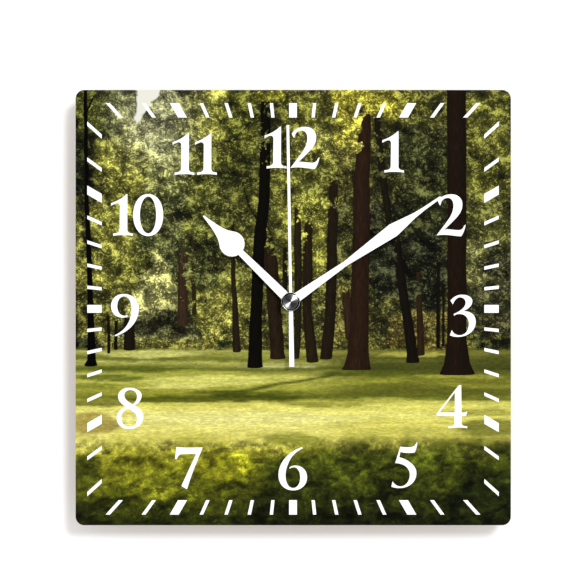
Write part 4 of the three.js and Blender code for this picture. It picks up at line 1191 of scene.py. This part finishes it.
black = moulded("black_abs", (0.022, 0.022, 0.024), (0.034, 0.034, 0.036), 0.42)
acetal = moulded("white_acetal", (0.8, 0.79, 0.74), (0.88, 0.87, 0.82), 0.4)
zinc = rolled("zinc_plate", (0.66, 0.67, 0.69), (0.74, 0.74, 0.75), 0.3, (1.0, 1.0, 0.2), 0.16)
nickel = rolled("nickel_plate", (0.7, 0.69, 0.66), (0.78, 0.77, 0.75), 0.2)
brass = rolled("turned_brass", (0.74, 0.55, 0.22), (0.82, 0.64, 0.3), 0.2, (1.0, 6.0, 1.0))
iron = rolled("soft_iron", (0.46, 0.46, 0.47), (0.54, 0.54, 0.55), 0.35, (1.0, 1.0, 0.2))
piece("case_shell", softened("case_front", 0.3, 1.0), black, "clock_body", "black_abs", "case_front")
piece("cover_shell", rear_cover(), black, "clock_body", "black_abs", "case_rear_cover")
piece("knob_grip", knob(), black, "setting", "black_abs", "setting_knob")
piece("hanger", softened("hanger_plate", 0.15), zinc, "clock_body", "zinc_steel", "hanger_plate")
rubber = moulded("black_rubber", (0.02, 0.02, 0.02), (0.035, 0.034, 0.033), 0.72, 1.6)
piece("rubber_pad", softened("rubber_washer", 0.2), rubber, "clock_body", "black_rubber", "rubber_washer")
piece("thin_washer", softened("brass_washer", 0.08), brass, "clock_body", "brass", "brass_washer")
piece("bushing_nut", softened("hex_nut", 0.2, 2.0), brass, "clock_body", "brass", "hex_nut")
piece("battery_can", battery(), battery_wrap(), "clock_body", "battery_jacket", "battery_cell")
piece("battery_button", battery_cap(), nickel, "clock_body", "zinc_steel", "battery_positive_cap")

# The rest of the movement keeps its CAD shape
DRESSED = {
    nickel: ["contact_positive", "contact_negative_spring", "crystal_can", "stator_screw_lower",
             "stator_screw_upper", "seconds_arbor"],
    brass: ["clutch_spring", "minute_pipe", "hour_hand_bush", "minute_hand_bush", "second_hand_tube"],
    acetal: ["gear_plate", "coil_bobbin", "rotor_pinion", "intermediate_wheel", "seconds_wheel",
             "third_wheel", "centre_wheel", "hour_wheel", "motion_wheel"],
    circuit_laminate(): ["circuit_board"],
    moulded("chip_epoxy", (0.012, 0.012, 0.013), (0.02, 0.02, 0.021), 0.18, 0.8): ["chip"],
    wound_wire(): ["coil_winding", "coil_lead_out", "coil_lead_return"],
    iron: ["coil_core", "stator"],
    rolled("magnet", (0.16, 0.16, 0.17), (0.24, 0.24, 0.25), 0.5): ["rotor_magnet"],
}
for material, names in DRESSED.items():
    for name in names:
        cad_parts[name].data.materials[0] = material


# ---------------------------------------------------------------- stage, lights and camera
FLOOR = {"up": -0.55, "half": 2.5}
WALL = {"y": 0.0005, "half": 0.8}
CARD = {"y": -3.0, "half": 7}
SKY_LIGHT = 0.97
SUN = {"strength": 1.64, "angle": 14, "from": (0.34, -1.0, 0.36)}
CAMERA = {"lens": 215.3, "away": 2000.0, "x": -1.56, "up": 7.84}


def stage_quad(name, corners, material):
    mesh = bpy.data.meshes.new(name)
    mesh.from_pydata(corners, [], [(0, 1, 2, 3)])
    mesh.materials.append(material)
    made = bpy.data.objects.new(name, mesh)
    bpy.context.scene.collection.objects.link(made)
    return made


def upright(y, half, bottom):
    """The corners of a square standing across the y axis, or the part of it above the bottom."""
    return [(-half, y, bottom), (half, y, bottom), (half, y, half), (-half, y, half)]


def unseen(made, *rays):
    """Takes the object out of the sight of these rays."""
    for ray in rays:
        setattr(made, "visible_" + ray, False)


def wall_material():
    """White where it faces the room, and clear from behind, so that the clock's rear can be looked at."""
    n = Nodes("plain_wall")
    place = n.place_mm()
    soft = n.noise(place, 0.02, 3.0)
    colour = n.mix(soft, (0.9, 0.9, 0.9), (0.92, 0.92, 0.92))
    front = n.add("BsdfDiffuse", {"Color": colour, "Normal": n.bump(n.noise(place, 0.5, 4.0), 0.05, 0.2)})
    through = n.add("BsdfTransparent")
    back = n.add("NewGeometry").outputs["Backfacing"]
    both = n.add("MixShader", {"Fac": back})
    n.tree.links.new(front.outputs[0], both.inputs[1])
    n.tree.links.new(through.outputs[0], both.inputs[2])
    out = n.add("OutputMaterial")
    n.tree.links.new(both.outputs[0], out.inputs["Surface"])
    return n.material


def floor_material():
    n = Nodes("pale_floor")
    place = n.place_mm()
    soft = n.noise(place, 0.01, 4.0)
    colour = n.mix(soft, (0.74, 0.74, 0.73), (0.8, 0.8, 0.79))
    return n.surface(colour, 0.6, normal=n.bump(n.noise(place, 0.3, 4.0), 0.1, 0.3), specular=0.2)


def card_material():
    n = Nodes("black_card")
    grain = n.noise(n.place_mm(), 0.1, 2.0)
    colour = n.mix(grain, (0.004, 0.004, 0.004), (0.01, 0.01, 0.01))
    return n.surface(colour, 0.9, specular=0.0)


wall = stage_quad("wall", upright(WALL["y"], WALL["half"], FLOOR["up"]), wall_material())
unseen(wall, "diffuse", "glossy", "shadow")
side, level = FLOOR["half"], FLOOR["up"]
ground = [(-side, -side, level), (side, -side, level), (side, side, level), (-side, side, level)]
floor = stage_quad("floor", ground, floor_material())
unseen(floor, "glossy")
# Glossy faces see a dark card behind the camera
card = stage_quad("dark_card", upright(CARD["y"], CARD["half"], -CARD["half"]), card_material())
unseen(card, "camera", "diffuse", "shadow", "transmission")

scene = bpy.context.scene
world = bpy.data.worlds.new("studio")
world.use_nodes = True
background = world.node_tree.nodes["Background"]
background.inputs["Color"].default_value = (1.0, 1.0, 1.0, 1.0)
background.inputs["Strength"].default_value = SKY_LIGHT
scene.world = world

sun = bpy.data.lights.new("key", "SUN")
sun.energy = SUN["strength"]
sun.angle = math.radians(SUN["angle"])
key = bpy.data.objects.new("key", sun)
key.rotation_euler = (-Vector(SUN["from"])).to_track_quat("-Z", "Y").to_euler()
scene.collection.objects.link(key)

lens = bpy.data.cameras.new("camera")
lens.sensor_width = 36.0
lens.lens = CAMERA["lens"]
lens.clip_end = 50
camera = bpy.data.objects.new("camera", lens)
camera.location = (CAMERA["x"] * MM, -CAMERA["away"] * MM, CAMERA["up"] * MM)
camera.rotation_euler = (math.radians(90), 0, 0)
scene.collection.objects.link(camera)
scene.camera = camera
scene.view_settings.view_transform = "Standard"
scene.view_settings.look = "None"
